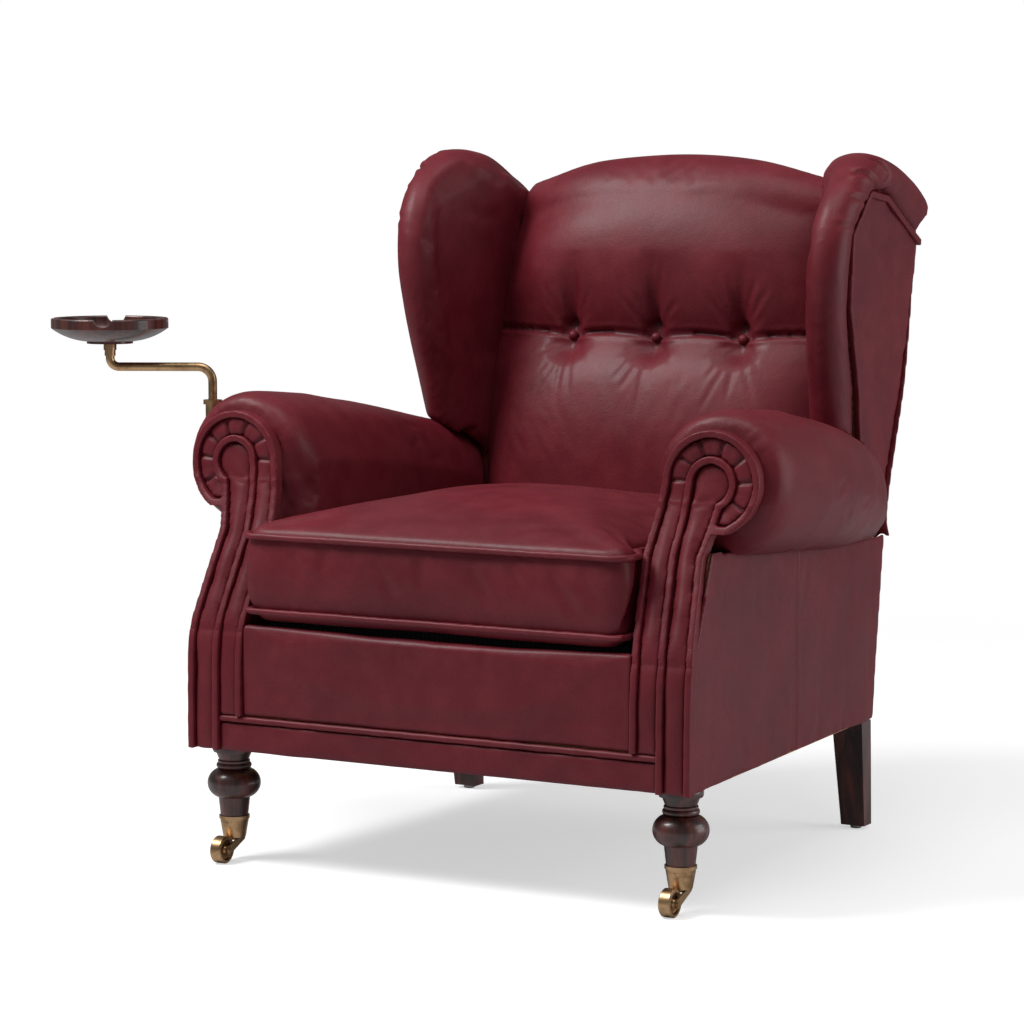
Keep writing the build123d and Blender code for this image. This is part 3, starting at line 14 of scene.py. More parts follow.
import bpy
import numpy as np
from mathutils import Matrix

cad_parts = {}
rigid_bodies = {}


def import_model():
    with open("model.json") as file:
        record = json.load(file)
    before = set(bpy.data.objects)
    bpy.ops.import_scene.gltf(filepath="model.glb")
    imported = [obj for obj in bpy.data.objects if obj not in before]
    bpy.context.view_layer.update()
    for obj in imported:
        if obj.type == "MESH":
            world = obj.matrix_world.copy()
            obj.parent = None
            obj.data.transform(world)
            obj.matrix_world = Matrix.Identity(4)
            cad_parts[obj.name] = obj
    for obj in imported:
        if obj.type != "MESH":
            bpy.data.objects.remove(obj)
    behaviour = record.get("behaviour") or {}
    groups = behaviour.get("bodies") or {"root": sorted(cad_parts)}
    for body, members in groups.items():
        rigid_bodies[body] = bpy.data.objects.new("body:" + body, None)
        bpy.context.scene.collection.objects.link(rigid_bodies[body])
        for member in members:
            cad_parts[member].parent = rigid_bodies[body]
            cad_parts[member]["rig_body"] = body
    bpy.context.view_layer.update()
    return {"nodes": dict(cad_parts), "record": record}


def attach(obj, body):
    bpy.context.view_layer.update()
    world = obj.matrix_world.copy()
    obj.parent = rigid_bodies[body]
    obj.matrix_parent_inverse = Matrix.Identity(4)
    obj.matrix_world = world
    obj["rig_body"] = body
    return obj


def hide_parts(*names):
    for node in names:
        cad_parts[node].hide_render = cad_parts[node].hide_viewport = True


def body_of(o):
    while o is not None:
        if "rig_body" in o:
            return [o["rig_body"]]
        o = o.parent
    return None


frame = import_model()

log = logging.getLogger("chair")

Array = np.ndarray
Colour = tuple[float, float, float]
Point = tuple[float, float, float]
Spot = tuple[float, float]
Row = tuple[float, float, float]
Chart = Callable[[Array, Array], tuple[Array, Array, Array]]

WHITE = (1, 1, 1, 1)


class Side(Enum):
    """Which half of the chair a piece is on, as seen from the front."""

    LEFT = -1
    RIGHT = 1

    @property
    def word(self) -> str:
        """The side as it stands in the names of nodes."""
        return self.name.lower()


def tone(red: int, green: int, blue: int) -> Colour:
    """A colour given as screen values.

    Args:
        red: Red from 0 to 255.
        green: Green from 0 to 255.
        blue: Blue from 0 to 255.

    Returns:
        The linear colour that shaders take.
    """

    def linear(value: int) -> float:
        """One channel's linear value."""
        share = value / 255
        return share / 12.92 if share <= 0.04045 else ((share + 0.055) / 1.055) ** 2.4

    return linear(red), linear(green), linear(blue)


def ease(low: float, high: float, values: Array) -> Array:
    """A smooth step from 0 at low to 1 at high.

    Args:
        low: Where the step starts.
        high: Where it ends.
        values: The values to put through it.

    Returns:
        The stepped values.
    """
    share = np.clip((values - low) / (high - low), 0, 1)
    return share * share * (3 - 2 * share)


# Shader graphs


class Wire:
    """A socket that carries a number and takes part in sums."""

    def __init__(self, graph: "Graph", socket: bpy.types.NodeSocket) -> None:
        """Keeps the graph and the socket."""
        self.graph = graph
        self.socket = socket

    def _math(self, operation: str, first: "Wire | float", second: "Wire | float") -> "Wire":
        """Adds one Math node.

        Args:
            operation: The node's operation.
            first: Its first value.
            second: Its second value.

        Returns:
            The node's result.
        """
        return self.graph.add("ShaderNodeMath", {"operation": operation}, {0: first, 1: second})

    def __add__(self, other: "Wire | float") -> "Wire":
        """Sum."""
        return self._math("ADD", self, other)

    __radd__ = __add__

    def __mul__(self, other: "Wire | float") -> "Wire":
        """Product."""
        return self._math("MULTIPLY", self, other)

    __rmul__ = __mul__


class Graph:
    """The node graph of one material or of the world."""

    def __init__(self, tree: bpy.types.NodeTree) -> None:
        """Empties the tree and keeps it."""
        self.tree = tree
        tree.nodes.clear()

    def add(
        self, kind: str, settings: dict | None = None, values: dict | None = None, out: str | int = 0
    ) -> Wire:
        """Adds a node of any kind.

        Args:
            kind: The node's type.
            settings: Its settings, which are set first; "stops" are a ramp's places and colours.
            values: Its sockets' values or the wires that feed them, by name or number.
            out: The socket that the result is taken from.

        Returns:
            The chosen output.
        """
        node = self.tree.nodes.new(kind)
        for name, value in (settings or {}).items():
            if name == "stops":
                self._set_stops(node.color_ramp, value)
            else:
                setattr(node, name, value)
        for name, value in (values or {}).items():
            if isinstance(value, Wire):
                self.tree.links.new(value.socket, node.inputs[name])
            else:
                node.inputs[name].default_value = value
        return Wire(self, node.outputs[out] if node.outputs else None)

    @staticmethod
    def _set_stops(ramp: bpy.types.ColorRamp, stops: Sequence[tuple[float, Colour]]) -> None:
        """Sets a ramp's stops.

        Args:
            ramp: The ramp.
            stops: Places from 0 to 1 with their colours.
        """
        while len(ramp.elements) < len(stops):
            ramp.elements.new(0.5)
        for element, (place, colour) in zip(ramp.elements, stops):
            element.position = place
            element.color = (*colour, 1)

    def place(self) -> Wire:
        """The point on the surface, in metres in the chair's frame."""
        return self.add("ShaderNodeTexCoord", out="Object")

    def pointed(self) -> Wire:
        """How far the surface stands out, about 0.5 where it is flat."""
        return self.add("ShaderNodeNewGeometry", out="Pointiness")

    def stretched(self, scale: Point) -> Wire:
        """The point on the surface, stretched.

        Args:
            scale: The factor along each axis.

        Returns:
            The stretched point.
        """
        return self.add("ShaderNodeVectorMath", {"operation": "MULTIPLY"}, {0: self.place(), 1: scale})

    def noise(
        self, scale: float, detail: float, point: Wire | None = None, warp: float = 0.0, out: int = 0
    ) -> Wire:
        """Cloudy noise.

        Args:
            scale: Clouds to the metre.
            detail: How many finer layers it has.
            point: Where it is read; the surface's own point if left out.
            warp: How far it bends itself.
            out: 0 for a number, 1 for a colour.

        Returns:
            The noise, about 0.5.
        """
        values = {"Vector": point or self.place(), "Scale": scale, "Detail": detail, "Distortion": warp}
        return self.add("ShaderNodeTexNoise", {}, values, out)

    def blend(self, share: Wire | float, first: Wire | Colour, second: Wire | Colour) -> Wire:
        """Mixes two colours.

        Args:
            share: How much of the second.
            first: The first colour.
            second: The second colour.

        Returns:
            The mixed colour.
        """
        colours = [value if isinstance(value, Wire) else (*value, 1) for value in (first, second)]
        settings = {"data_type": "RGBA", "clamp_factor": True}
        return self.add("ShaderNodeMix", settings, {0: share, 6: colours[0], 7: colours[1]}, out=2)

    def window(self, value: Wire, low: float, high: float, first: float = 0.0, last: float = 1.0) -> Wire:
        """Moves a range of values to another range, smoothly and clamped.

        Args:
            value: What is mapped.
            low: Start of its range.
            high: End of its range.
            first: Result at the start.
            last: Result at the end.

        Returns:
            The mapped value.
        """
        settings = {"interpolation_type": "SMOOTHSTEP"}
        values = {"Value": value, "From Min": low, "From Max": high, "To Min": first, "To Max": last}
        return self.add("ShaderNodeMapRange", settings, values)

    def bump(self, height: Wire, distance: float, strength: float = 1.0, below: Wire | None = None) -> Wire:
        """A normal from a height.

        Args:
            height: The height, from 0 to 1.
            distance: What a height of 1 is, in metres.
            strength: How much of it shows.
            below: A normal that this one is laid on.

        Returns:
            The normal.
        """
        values = {"Height": height, "Distance": distance, "Strength": strength}
        if below:
            values["Normal"] = below
        return self.add("ShaderNodeBump", {}, values)

    def surface(self, **sockets: "Wire | float | Colour") -> None:
        """Ends the graph with the principled shader.

        Args:
            **sockets: Its sockets by name, with _ for a space.
        """
        values = {}
        for name, value in sockets.items():
            value = (*value, 1) if isinstance(value, tuple) else value
            values[name.replace("_", " ").title().replace("Ior", "IOR")] = value
        shader = self.add("ShaderNodeBsdfPrincipled", {}, values)
        self.add("ShaderNodeOutputMaterial", {}, {"Surface": shader})


# Finishes


class Finish:
    """A material that is made once and shared by its pieces."""

    def material(self) -> bpy.types.Material:
        """The material, made when it is first asked for.

        Returns:
            The material.
        """
        label = type(self).__name__.lower() + "_" + self.slot
        made = bpy.data.materials.get(label)
        if made is None:
            made = bpy.data.materials.new(label)
            made.use_nodes = True
            self.draw(Graph(made.node_tree))
        return made


@dataclass(frozen=True)
class Leather(Finish):
    """Pull-up hide: mottled dye, pebbled grain and fine creases."""

    slot: str = "leather"
    # deep is the darkest tone: it serves the dye clouds and dark specks, and also the painted shade in
    # hollows and creases.
    deep: Colour = tone(46, 7, 15)
    dye: Colour = tone(97, 21, 32)
    worn: Colour = tone(120, 42, 50)
    rough: float = 0.48
    clouds_per_m: float = 6.5
    patches_per_m: float = 28
    specks_per_m: float = 240
    grain_per_m: float = 620
    grain_depth: float = 0.00028
    creases_per_m: float = 75
    crease_depth: float = 0.00012
    crease_bend: float = 0.012
    swells_per_m: float = 34
    swell_depth: float = 0.0007

    def draw(self, graph: Graph) -> None:
        """Draws the hide.

        Args:
            graph: The material's graph.
        """
        place = graph.place()
        patches = graph.noise(self.patches_per_m, 4.0, place)
        specks = graph.noise(self.specks_per_m, 2.0, place)
        graph.surface(
            base_color=self.dyed(graph, place, patches, specks),
            roughness=self.rough - 0.06 + patches * 0.14 + specks * 0.06,
            normal=self.grained(graph, place),
            specular_ior_level=0.24,
            coat_weight=0.05,
            coat_roughness=0.22,
        )

    def dyed(self, graph: Graph, place: Wire, patches: Wire, specks: Wire) -> Wire:
        """Mottles the dye, wears it on ridges and paints shade into hollows and creases.

        Args:
            graph: The material's graph.
            place: The point on the surface.
            patches: Noise of worn patches.
            specks: Noise of dark specks.

        Returns:
            The colour.
        """
        clouds = graph.noise(self.clouds_per_m, 3.0, place, 0.4)
        fold = graph.pointed()
        # Painted shade: concave hollows and creases (low pointiness) are marked here to be darkened, where
        # shade falls.
        hollow = graph.window(fold, 0.44, 0.5, 1.0, 0.0)
        ridge = graph.window(fold, 0.505, 0.56)
        shade = graph.blend(graph.window(patches, 0.35, 0.7, 0.0, 0.3), self.dye, self.worn)
        shade = graph.blend(graph.window(clouds, 0.34, 0.62, 0.22, 0.0), shade, self.deep)
        shade = graph.blend(ridge * 0.35, shade, self.worn)
        # Painted shade: the hollow mask darkens the colour towards the deep tone in creases and hollows.
        shade = graph.blend(hollow * 0.75, shade, self.deep)
        return graph.blend(graph.window(specks, 0.5, 0.75, 0.0, 0.16), shade, self.deep)

    def grained(self, graph: Graph, place: Wire) -> Wire:
        """Lays creases over soft swells, and pebbled grain over both.

        Args:
            graph: The material's graph.
            place: The point on the surface.

        Returns:
            The normal.
        """
        pebbles = graph.add(
            "ShaderNodeTexVoronoi",
            {"feature": "SMOOTH_F1"},
            {"Vector": place, "Scale": self.grain_per_m, "Smoothness": 0.6, "Randomness": 1.0},
        )
        waver = {0: graph.noise(40, 2.0, place, out=1), "Scale": self.crease_bend}
        shift = graph.add("ShaderNodeVectorMath", {"operation": "SCALE"}, waver)
        cracks = graph.add(
            "ShaderNodeTexVoronoi",
            {"feature": "DISTANCE_TO_EDGE"},
            {
                "Vector": graph.add("ShaderNodeVectorMath", {"operation": "ADD"}, {0: place, 1: shift}),
                "Scale": self.creases_per_m,
                "Randomness": 1.0,
            },
        )
        normal = graph.bump(graph.noise(self.swells_per_m, 2.0, place), self.swell_depth)
        normal = graph.bump(graph.window(cracks, 0.0, 0.11), self.crease_depth, 0.3, normal)
        return graph.bump(pebbles, self.grain_depth, 0.5, normal)


@dataclass(frozen=True)
class Mahogany(Finish):
    """Dark polished mahogany with its grain along one axis."""

    slot: str = "mahogany"
    dark: Colour = tone(34, 15, 14)
    warm: Colour = tone(94, 43, 36)
    along: Point = (26.0, 26.0, 1.6)

    def draw(self, graph: Graph) -> None:
        """Draws the polished wood.

        Args:
            graph: The material's graph.
        """
        place = graph.stretched(self.along)
        figure = graph.noise(2.2, 6.0, place, 1.2)
        pores = graph.noise(14, 3.0, place, 0.3)
        ridge = graph.window(graph.pointed(), 0.51, 0.58)
        colour = graph.blend(graph.window(figure, 0.34, 0.72), self.dark, self.warm)
        colour = graph.blend(graph.window(pores, 0.5, 0.7, 0.0, 0.5), colour, self.dark)
        colour = graph.blend(ridge * 0.5, colour, self.warm)
        graph.surface(
            base_color=colour,
            roughness=0.3 + pores * 0.14,
            normal=graph.bump(pores, 0.00012, 0.6),
            coat_weight=0.3,
            coat_roughness=0.14,
        )


@dataclass(frozen=True)
class Beech(Finish):
    """Plain planed beech of the hidden frame."""

    slot: str = "beech"
    pale: Colour = tone(196, 158, 116)
    ray: Colour = tone(158, 112, 74)

    def draw(self, graph: Graph) -> None:
        """Draws the planed wood.

        Args:
            graph: The material's graph.
        """
        place = graph.stretched((3.0, 3.0, 34.0))
        figure = graph.noise(3.0, 5.0, place, 0.8)
        flecks = graph.noise(90, 2.0)
        colour = graph.blend(graph.window(figure, 0.35, 0.7), self.pale, self.ray)
        colour = graph.blend(graph.window(flecks, 0.6, 0.75, 0.0, 0.4), colour, self.ray)
        graph.surface(base_color=colour, roughness=0.6, normal=graph.bump(figure, 0.0003, 0.5))


@dataclass(frozen=True)
class Brass(Finish):
    """Aged brass: dull metal with brown patina in its hollows."""

    slot: str = "brass"
    metal: Colour = tone(184, 150, 112)
    patina: Colour = tone(104, 76, 50)

    def draw(self, graph: Graph) -> None:
        """Draws the aged metal.

        Args:
            graph: The material's graph.
        """
        stain = graph.noise(60, 4.0, None, 0.6)
        brushing = graph.noise(16, 3.0, graph.stretched((12.0, 12.0, 90.0)))
        hollow = graph.window(graph.pointed(), 0.42, 0.5, 1.0, 0.0)
        colour = graph.blend(graph.window(stain, 0.42, 0.7, 0.0, 0.6), self.metal, self.patina)
        colour = graph.blend(hollow * 0.7, colour, self.patina)
        graph.surface(
            base_color=colour,
            metallic=1.0,
            roughness=0.24 + stain * 0.18,
            normal=graph.bump(brushing, 0.00008, 0.5),
        )


@dataclass(frozen=True)
class Steel(Finish):
    """Drawn steel of springs and glides."""

    slot: str = "steel"
    metal: Colour = tone(150, 150, 152)

    def draw(self, graph: Graph) -> None:
        """Draws the drawn steel.

        Args:
            graph: The material's graph.
        """
        lines = graph.noise(30, 3.0, graph.stretched((8.0, 60.0, 60.0)))
        rough = graph.window(lines, 0.3, 0.7, 0.25, 0.45)
        normal = graph.bump(lines, 0.0001, 0.5)
        graph.surface(base_color=self.metal, metallic=1.0, roughness=rough, normal=normal)


@dataclass(frozen=True)
class Cloth(Finish):
    """Plain woven cloth or webbing."""

    slot: str
    yarn: Colour
    gap: Colour
    threads_per_m: float

    def draw(self, graph: Graph) -> None:
        """Draws the weave.

        Args:
            graph: The material's graph.
        """
        place = graph.place()
        waves = [
            graph.add(
                "ShaderNodeTexWave",
                {"wave_type": "BANDS", "bands_direction": axis},
                {"Vector": place, "Scale": self.threads_per_m / 20, "Distortion": 0.4},
                out=1,
            )
            for axis in ("X", "Y")
        ]
        weave = waves[0] * waves[1]
        fuzz = graph.noise(300, 2.0, place)
        colour = graph.blend(graph.window(weave + fuzz * 0.3, 0.1, 0.6), self.gap, self.yarn)
        graph.surface(base_color=colour, roughness=0.9, normal=graph.bump(weave, 0.0004, 0.6))


FINISHES: dict[str, Finish] = {
    finish.slot: finish
    for finish in (
        Leather(),
        Mahogany(),
        Beech(),
        Brass(),
        Steel(),
        Cloth("black_cloth", tone(38, 38, 40), tone(14, 14, 15), 900),
        Cloth("webbing", tone(178, 154, 116), tone(92, 74, 50), 500),
    )
}


# Charts: how the skin of a piece is laid flat for its creases


def shown(way: Array) -> Array:
    """The share of a crease that shows, 1 where the skin faces the chart squarely."""
    return ease(0.1, 0.5, way)


def front_chart(points: Array, normals: Array) -> tuple[Array, Array, Array]:
    """Across and up, for what faces the front."""
    return points[:, 0], points[:, 2], shown(-normals[:, 1])


def back_chart(points: Array, normals: Array) -> tuple[Array, Array, Array]:
    """Across and up, for what faces the back."""
    return points[:, 0], points[:, 2], shown(normals[:, 1])


def top_chart(points: Array, normals: Array) -> tuple[Array, Array, Array]:
    """Across and back, for what faces up."""
    return points[:, 0], points[:, 1], shown(normals[:, 2])


def side_chart(side: Side, outward: bool = True) -> Chart:
    """Back and up, for what faces to one side.

    Args:
        side: The side of the chair that the piece is on.
        outward: Whether the outer or the inner face is meant.

    Returns:
        The chart.
    """
    facing = side.value if outward else -side.value

    def chart(points: Array, normals: Array) -> tuple[Array, Array, Array]:
        """Back and up, with the share that faces the side."""
        return points[:, 1], points[:, 2], shown(facing * normals[:, 0])

    return chart


@dataclass(frozen=True)
class Fold:
    """A crease: a line that sinks between two flanks that rise by a share of its depth."""

    path: tuple[Spot, ...]
    depth: float
    width: float
    flank: float = 0.35
    taper: float = 0.35


@dataclass(frozen=True)
class Gathers:
    """Puckers square to a seam, which fade away from it."""

    path: tuple[Spot, ...]
    pitch: float
    depth: float
    reach: float
    seed: int


@dataclass(frozen=True)
class Valley:
    """A hollow that starts at a spot, and widens and fades on its way up or down."""

    foot: Spot
    reach: float
    depth: float
    width: float
    spread: float
    lean: float = 0.0


def drag_lines(starts: Sequence[tuple[float, float, float, float]], depth: float, width: float) -> list[Fold]:
    """Short slanting folds that run down from a seam.

    Args:
        starts: For each its start on the chart, how far down it runs, and its lean for each metre of that.
        depth: How deep they are.
        width: How wide they are.

    Returns:
        The folds.
    """
    folds = []
    for first, second, reach, lean in starts:
        middle = (first + reach * lean * 0.5, second - reach * 0.5)
        end = (first + reach * lean, second - reach)
        folds.append(Fold(((first, second), middle, end), depth, width))
    return folds


def along_path(first: Array, second: Array, path: Sequence[Spot]) -> tuple[Array, Array, float]:
    """How far points lie from a path and along it.

    Args:
        first: The points' first coordinate.
        second: Their second.
        path: The path's corners.

    Returns:
        The distances, the lengths along the path, and the path's length.
    """
    best = np.full(len(first), np.inf)
    run = np.zeros(len(first))
    start = 0.0
    for (x0, y0), (x1, y1) in zip(path, path[1:]):
        dx, dy = x1 - x0, y1 - y0
        length = math.hypot(dx, dy)
        share = np.clip(((first - x0) * dx + (second - y0) * dy) / length**2, 0, 1)
        away = np.hypot(first - x0 - share * dx, second - y0 - share * dy)
        nearer = away < best
        best = np.where(nearer, away, best)
        run = np.where(nearer, start + share * length, run)
        start += length
    return best, run, start


def swells(points: Array, size: float, seed: int) -> Array:
    """Soft uneven swells, the same each time.

    Args:
        points: Where they are read.
        size: About how wide one is, in metres.
        seed: Which pattern.

    Returns:
        Heights from about -1 to 1.
    """
    chance = np.random.default_rng(seed)
    total = np.zeros(len(points))
    waves = 7
    for _ in range(waves):
        way = chance.normal(size=3)
        way *= 2 * math.pi / (size * chance.uniform(0.7, 1.6) * np.linalg.norm(way))
        total += np.sin(points @ way + chance.uniform(0, 2 * math.pi))
    return total / (waves / 2)


class Skin:
    """The leather of one piece, grown from a solid of the frame and then shaped."""

    slot: str = "leather"
    hold_steps: int = 10
    swell_frames: int = 20

    def __init__(self, node: str, voxel: float, soften: int) -> None:
        """Copies the solid's mesh, makes it even and rounds its edges.

        Args:
            node: The solid that the piece stands for.
            voxel: The size of its first faces, in metres.
            soften: How often the mesh is smoothed.
        """
        self.node = node
        source = frame["nodes"][node]
        self.piece = bpy.data.objects.new(node + "_leather", source.data.copy())
        self.piece.data.materials.clear()
        bpy.context.scene.collection.objects.link(self.piece)
        self._apply("REMESH", mode="VOXEL", voxel_size=voxel, adaptivity=0.0)
        self._apply("SMOOTH", factor=0.5, iterations=soften)

    def _apply(self, kind: str, **settings: object) -> None:
        """Runs one modifier and keeps its result.

        Args:
            kind: The modifier's type.
            **settings: Its settings.
        """
        modifier = self.piece.modifiers.new(kind.title(), kind)
        for name, value in settings.items():
            setattr(modifier, name, value)
        self._keep_result()

    def _keep_result(self) -> None:
        """Turns what the modifiers show into the mesh itself."""
        graph = bpy.context.evaluated_depsgraph_get()
        made = bpy.data.meshes.new_from_object(self.piece.evaluated_get(graph))
        self.piece.modifiers.clear()
        old = self.piece.data
        self.piece.data = made
        bpy.data.meshes.remove(old)

    def _rows(self, source: bpy.types.bpy_prop_collection, name: str) -> Array:
        """Reads three numbers for each of the mesh's points.

        Args:
            source: What they are read from.
            name: What they are called there.

        Returns:
            One row for each point.
        """
        flat = np.empty(len(self.piece.data.vertices) * 3, np.float32)
        source.foreach_get(name, flat)
        return flat.reshape(-1, 3).astype(float)

    @property
    def points(self) -> Array:
        """The mesh's points, one row each."""
        return self._rows(self.piece.data.vertices, "co")

    @points.setter
    def points(self, moved: Array) -> None:
        """Puts the mesh's points elsewhere."""
        self.piece.data.vertices.foreach_set("co", moved.astype(np.float32).ravel())
        self.piece.data.update()

    @property
    def normals(self) -> Array:
        """The way out at each point."""
        return self._rows(self.piece.data.vertex_normals, "vector")

    def push(self, amount: Array) -> None:
        """Moves each point outwards by its own amount."""
        self.points = self.points + self.normals * amount[:, None]

    def swell(self, pressure: float, cap: float, held: Callable[[Array], Array]) -> None:
        """Blows the piece up like a filled cushion, by cloth simulation.

        Args:
            pressure: The pressure inside.
            cap: How far a point may move, in metres.
            held: Gives each point's share of holding, 1 where it is sewn down.
        """
        rest = self.points
        shares = held(rest)
        group = self.piece.vertex_groups.new(name="held")
        for step in range(1, self.hold_steps + 1):
            chosen = np.nonzero(np.round(shares * self.hold_steps) == step)[0]
            if len(chosen):
                group.add([int(index) for index in chosen], step / self.hold_steps, "REPLACE")
        cloth = self.piece.modifiers.new("Cloth", "CLOTH")
        cloth.settings.quality = 5
        cloth.settings.mass = 0.3
        cloth.settings.use_pressure = True
        cloth.settings.uniform_pressure_force = pressure
        cloth.settings.effector_weights.gravity = 0
        cloth.settings.vertex_group_mass = group.name
        cloth.collision_settings.use_collision = False
        scene = bpy.context.scene
        for number in range(1, self.swell_frames + 1):
            scene.frame_set(number)
        self._keep_result()
        scene.frame_set(1)
        self.piece.vertex_groups.clear()
        move = self.points - rest
        length = np.linalg.norm(move, axis=1)
        share = np.minimum(1, cap / np.maximum(length, 1e-9)) * (1 - ease(0.6, 1.0, shares))
        self.points = rest + move * share[:, None]
        self._apply("SMOOTH", factor=0.5, iterations=2)

    def level(self, shares: Array, rounds: int) -> None:
        """Evens out a part of the skin between its borders.

        Args:
            shares: Each point's share of evening out.
            rounds: How often it is smoothed.
        """
        group = self.piece.vertex_groups.new(name="levelled")
        for index in np.nonzero(shares > 0.01)[0]:
            group.add([int(index)], float(shares[index]), "REPLACE")
        self._apply("SMOOTH", factor=0.5, iterations=rounds, vertex_group=group.name)
        self.piece.vertex_groups.clear()

    def hollow(self, chart: Chart, valleys: Sequence[Valley]) -> None:
        """Sinks valleys into the skin.

        Args:
            chart: How the skin is laid flat.
            valleys: The valleys, in the chart's metres; a reach under zero runs downwards.
        """
        first, second, facing = chart(self.points, self.normals)
        amount = np.zeros(len(first))
        steep, blunt, floor_away, mouth = 1.5, 0.03, 0.17, 0.006
        for valley in valleys:
            way = math.copysign(1, valley.reach)
            run = way * (second - valley.foot[1])
            aside = first - valley.foot[0] - valley.lean * run
            wide = valley.width + valley.spread * np.maximum(run, 0)
            fade = np.clip(1 - run / abs(valley.reach), 0, 1)
            profile = np.exp(-steep * (np.sqrt((aside / wide) ** 2 + blunt) - floor_away))
            amount -= valley.depth * fade * profile * ease(-mouth, mouth, run)
        self.push(amount * facing)

    def crease(self, chart: Chart, folds: Sequence[Fold] = (), gathers: Sequence[Gathers] = ()) -> None:
        """Works folds and gathers into the skin.

        Args:
            chart: How the skin is laid flat.
            folds: The folds, in the chart's metres.
            gathers: The gathers, in the chart's metres.
        """
        first, second, facing = chart(self.points, self.normals)
        amount = np.zeros(len(first))
        for fold in folds:
            away, run, length = along_path(first, second, fold.path)
            end = fold.taper * length
            near = ease(0, end, run) * ease(0, end, length - run) if end > 0 else 1.0
            sunk = np.exp(-((away / fold.width) ** 2))
            risen = np.exp(-(((away - 2.0 * fold.width) / fold.width) ** 2))
            amount += near * fold.depth * (fold.flank * risen - sunk)
        for gather in gathers:
            away, run, _ = along_path(first, second, gather.path)
            chance = np.random.default_rng(gather.seed)
            shift = sum(
                chance.uniform(0.15, 0.4)
                * gather.pitch
                * np.sin(run / (gather.pitch * rate) + chance.uniform(0, 6))
                for rate in (0.37, 0.61, 1.3)
            )
            wave = 0.5 - 0.5 * np.cos(2 * math.pi * (run + shift) / gather.pitch)
            strength = 0.6 + 0.4 * np.sin(run / (gather.pitch * 1.7) + chance.uniform(0, 6))
            amount -= gather.depth * wave**2 * strength * np.exp(-((away / gather.reach) ** 2))
        self.push(amount * facing)

    def ripple(self, height: float, size: float, seed: int) -> None:
        """Gives the skin soft uneven swells.

        Args:
            height: How high they are, in metres.
            size: How wide they are, in metres.
            seed: Which pattern.
        """
        self.push(height * swells(self.points, size, seed))

    def divide(self) -> None:
        """Makes the mesh finer and smoother, once."""
        self._apply("SUBSURF", levels=1, render_levels=1)

    def finish(self, fill: float | None = None) -> None:
        """Dresses the piece, puts it on its body and in place of its solid.

        Args:
            fill: How tight the pad is, from 0 to 1, or nothing for a trim; not used.
        """
        self.piece.data.polygons.foreach_set("use_smooth", [True] * len(self.piece.data.polygons))
        self.piece.data.materials.append(FINISHES[self.slot].material())
        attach(self.piece, body_of(frame["nodes"][self.node])[0])
        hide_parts(self.node)
        log.info("%s: %d points", self.piece.name, len(self.piece.data.vertices))


def free(points: Array) -> Array:
    """Holds no point."""
    return np.zeros(len(points))


def stretched(points: Array, forward: float, upward: float) -> Array:
    """Draws a flat panel out under the pieces that border it in front and above.

    Args:
        points: The panel's points.
        forward: How far its front edge moves.
        upward: How far its top edge moves.

    Returns:
        The moved points.
    """
    low, high = points.min(axis=0), points.max(axis=0)
    moved = points.copy()
    moved[:, 1] -= forward * (high[1] - points[:, 1]) / (high[1] - low[1])
    moved[:, 2] += upward * (points[:, 2] - low[2]) / (high[2] - low[2])
    return moved


def corner_fill(points: Array) -> Array:
    """How far the wings fill out over the back's top corners.

    Args:
        points: Where it is read.

    Returns:
        The widths, in metres.
    """
    widest, foot_z, tall, front_y, rear_y = 0.04, 0.65, 0.25, 0.2, 0.34
    return widest * np.clip((points[:, 2] - foot_z) / tall, 0, 1.1) * ease(front_y, rear_y, points[:, 1])


# Sub-assemblies


class Assembly(Protocol):
    """A part of the chair that builds its own pieces."""

    def build(self) -> None:
        """Builds the pieces."""


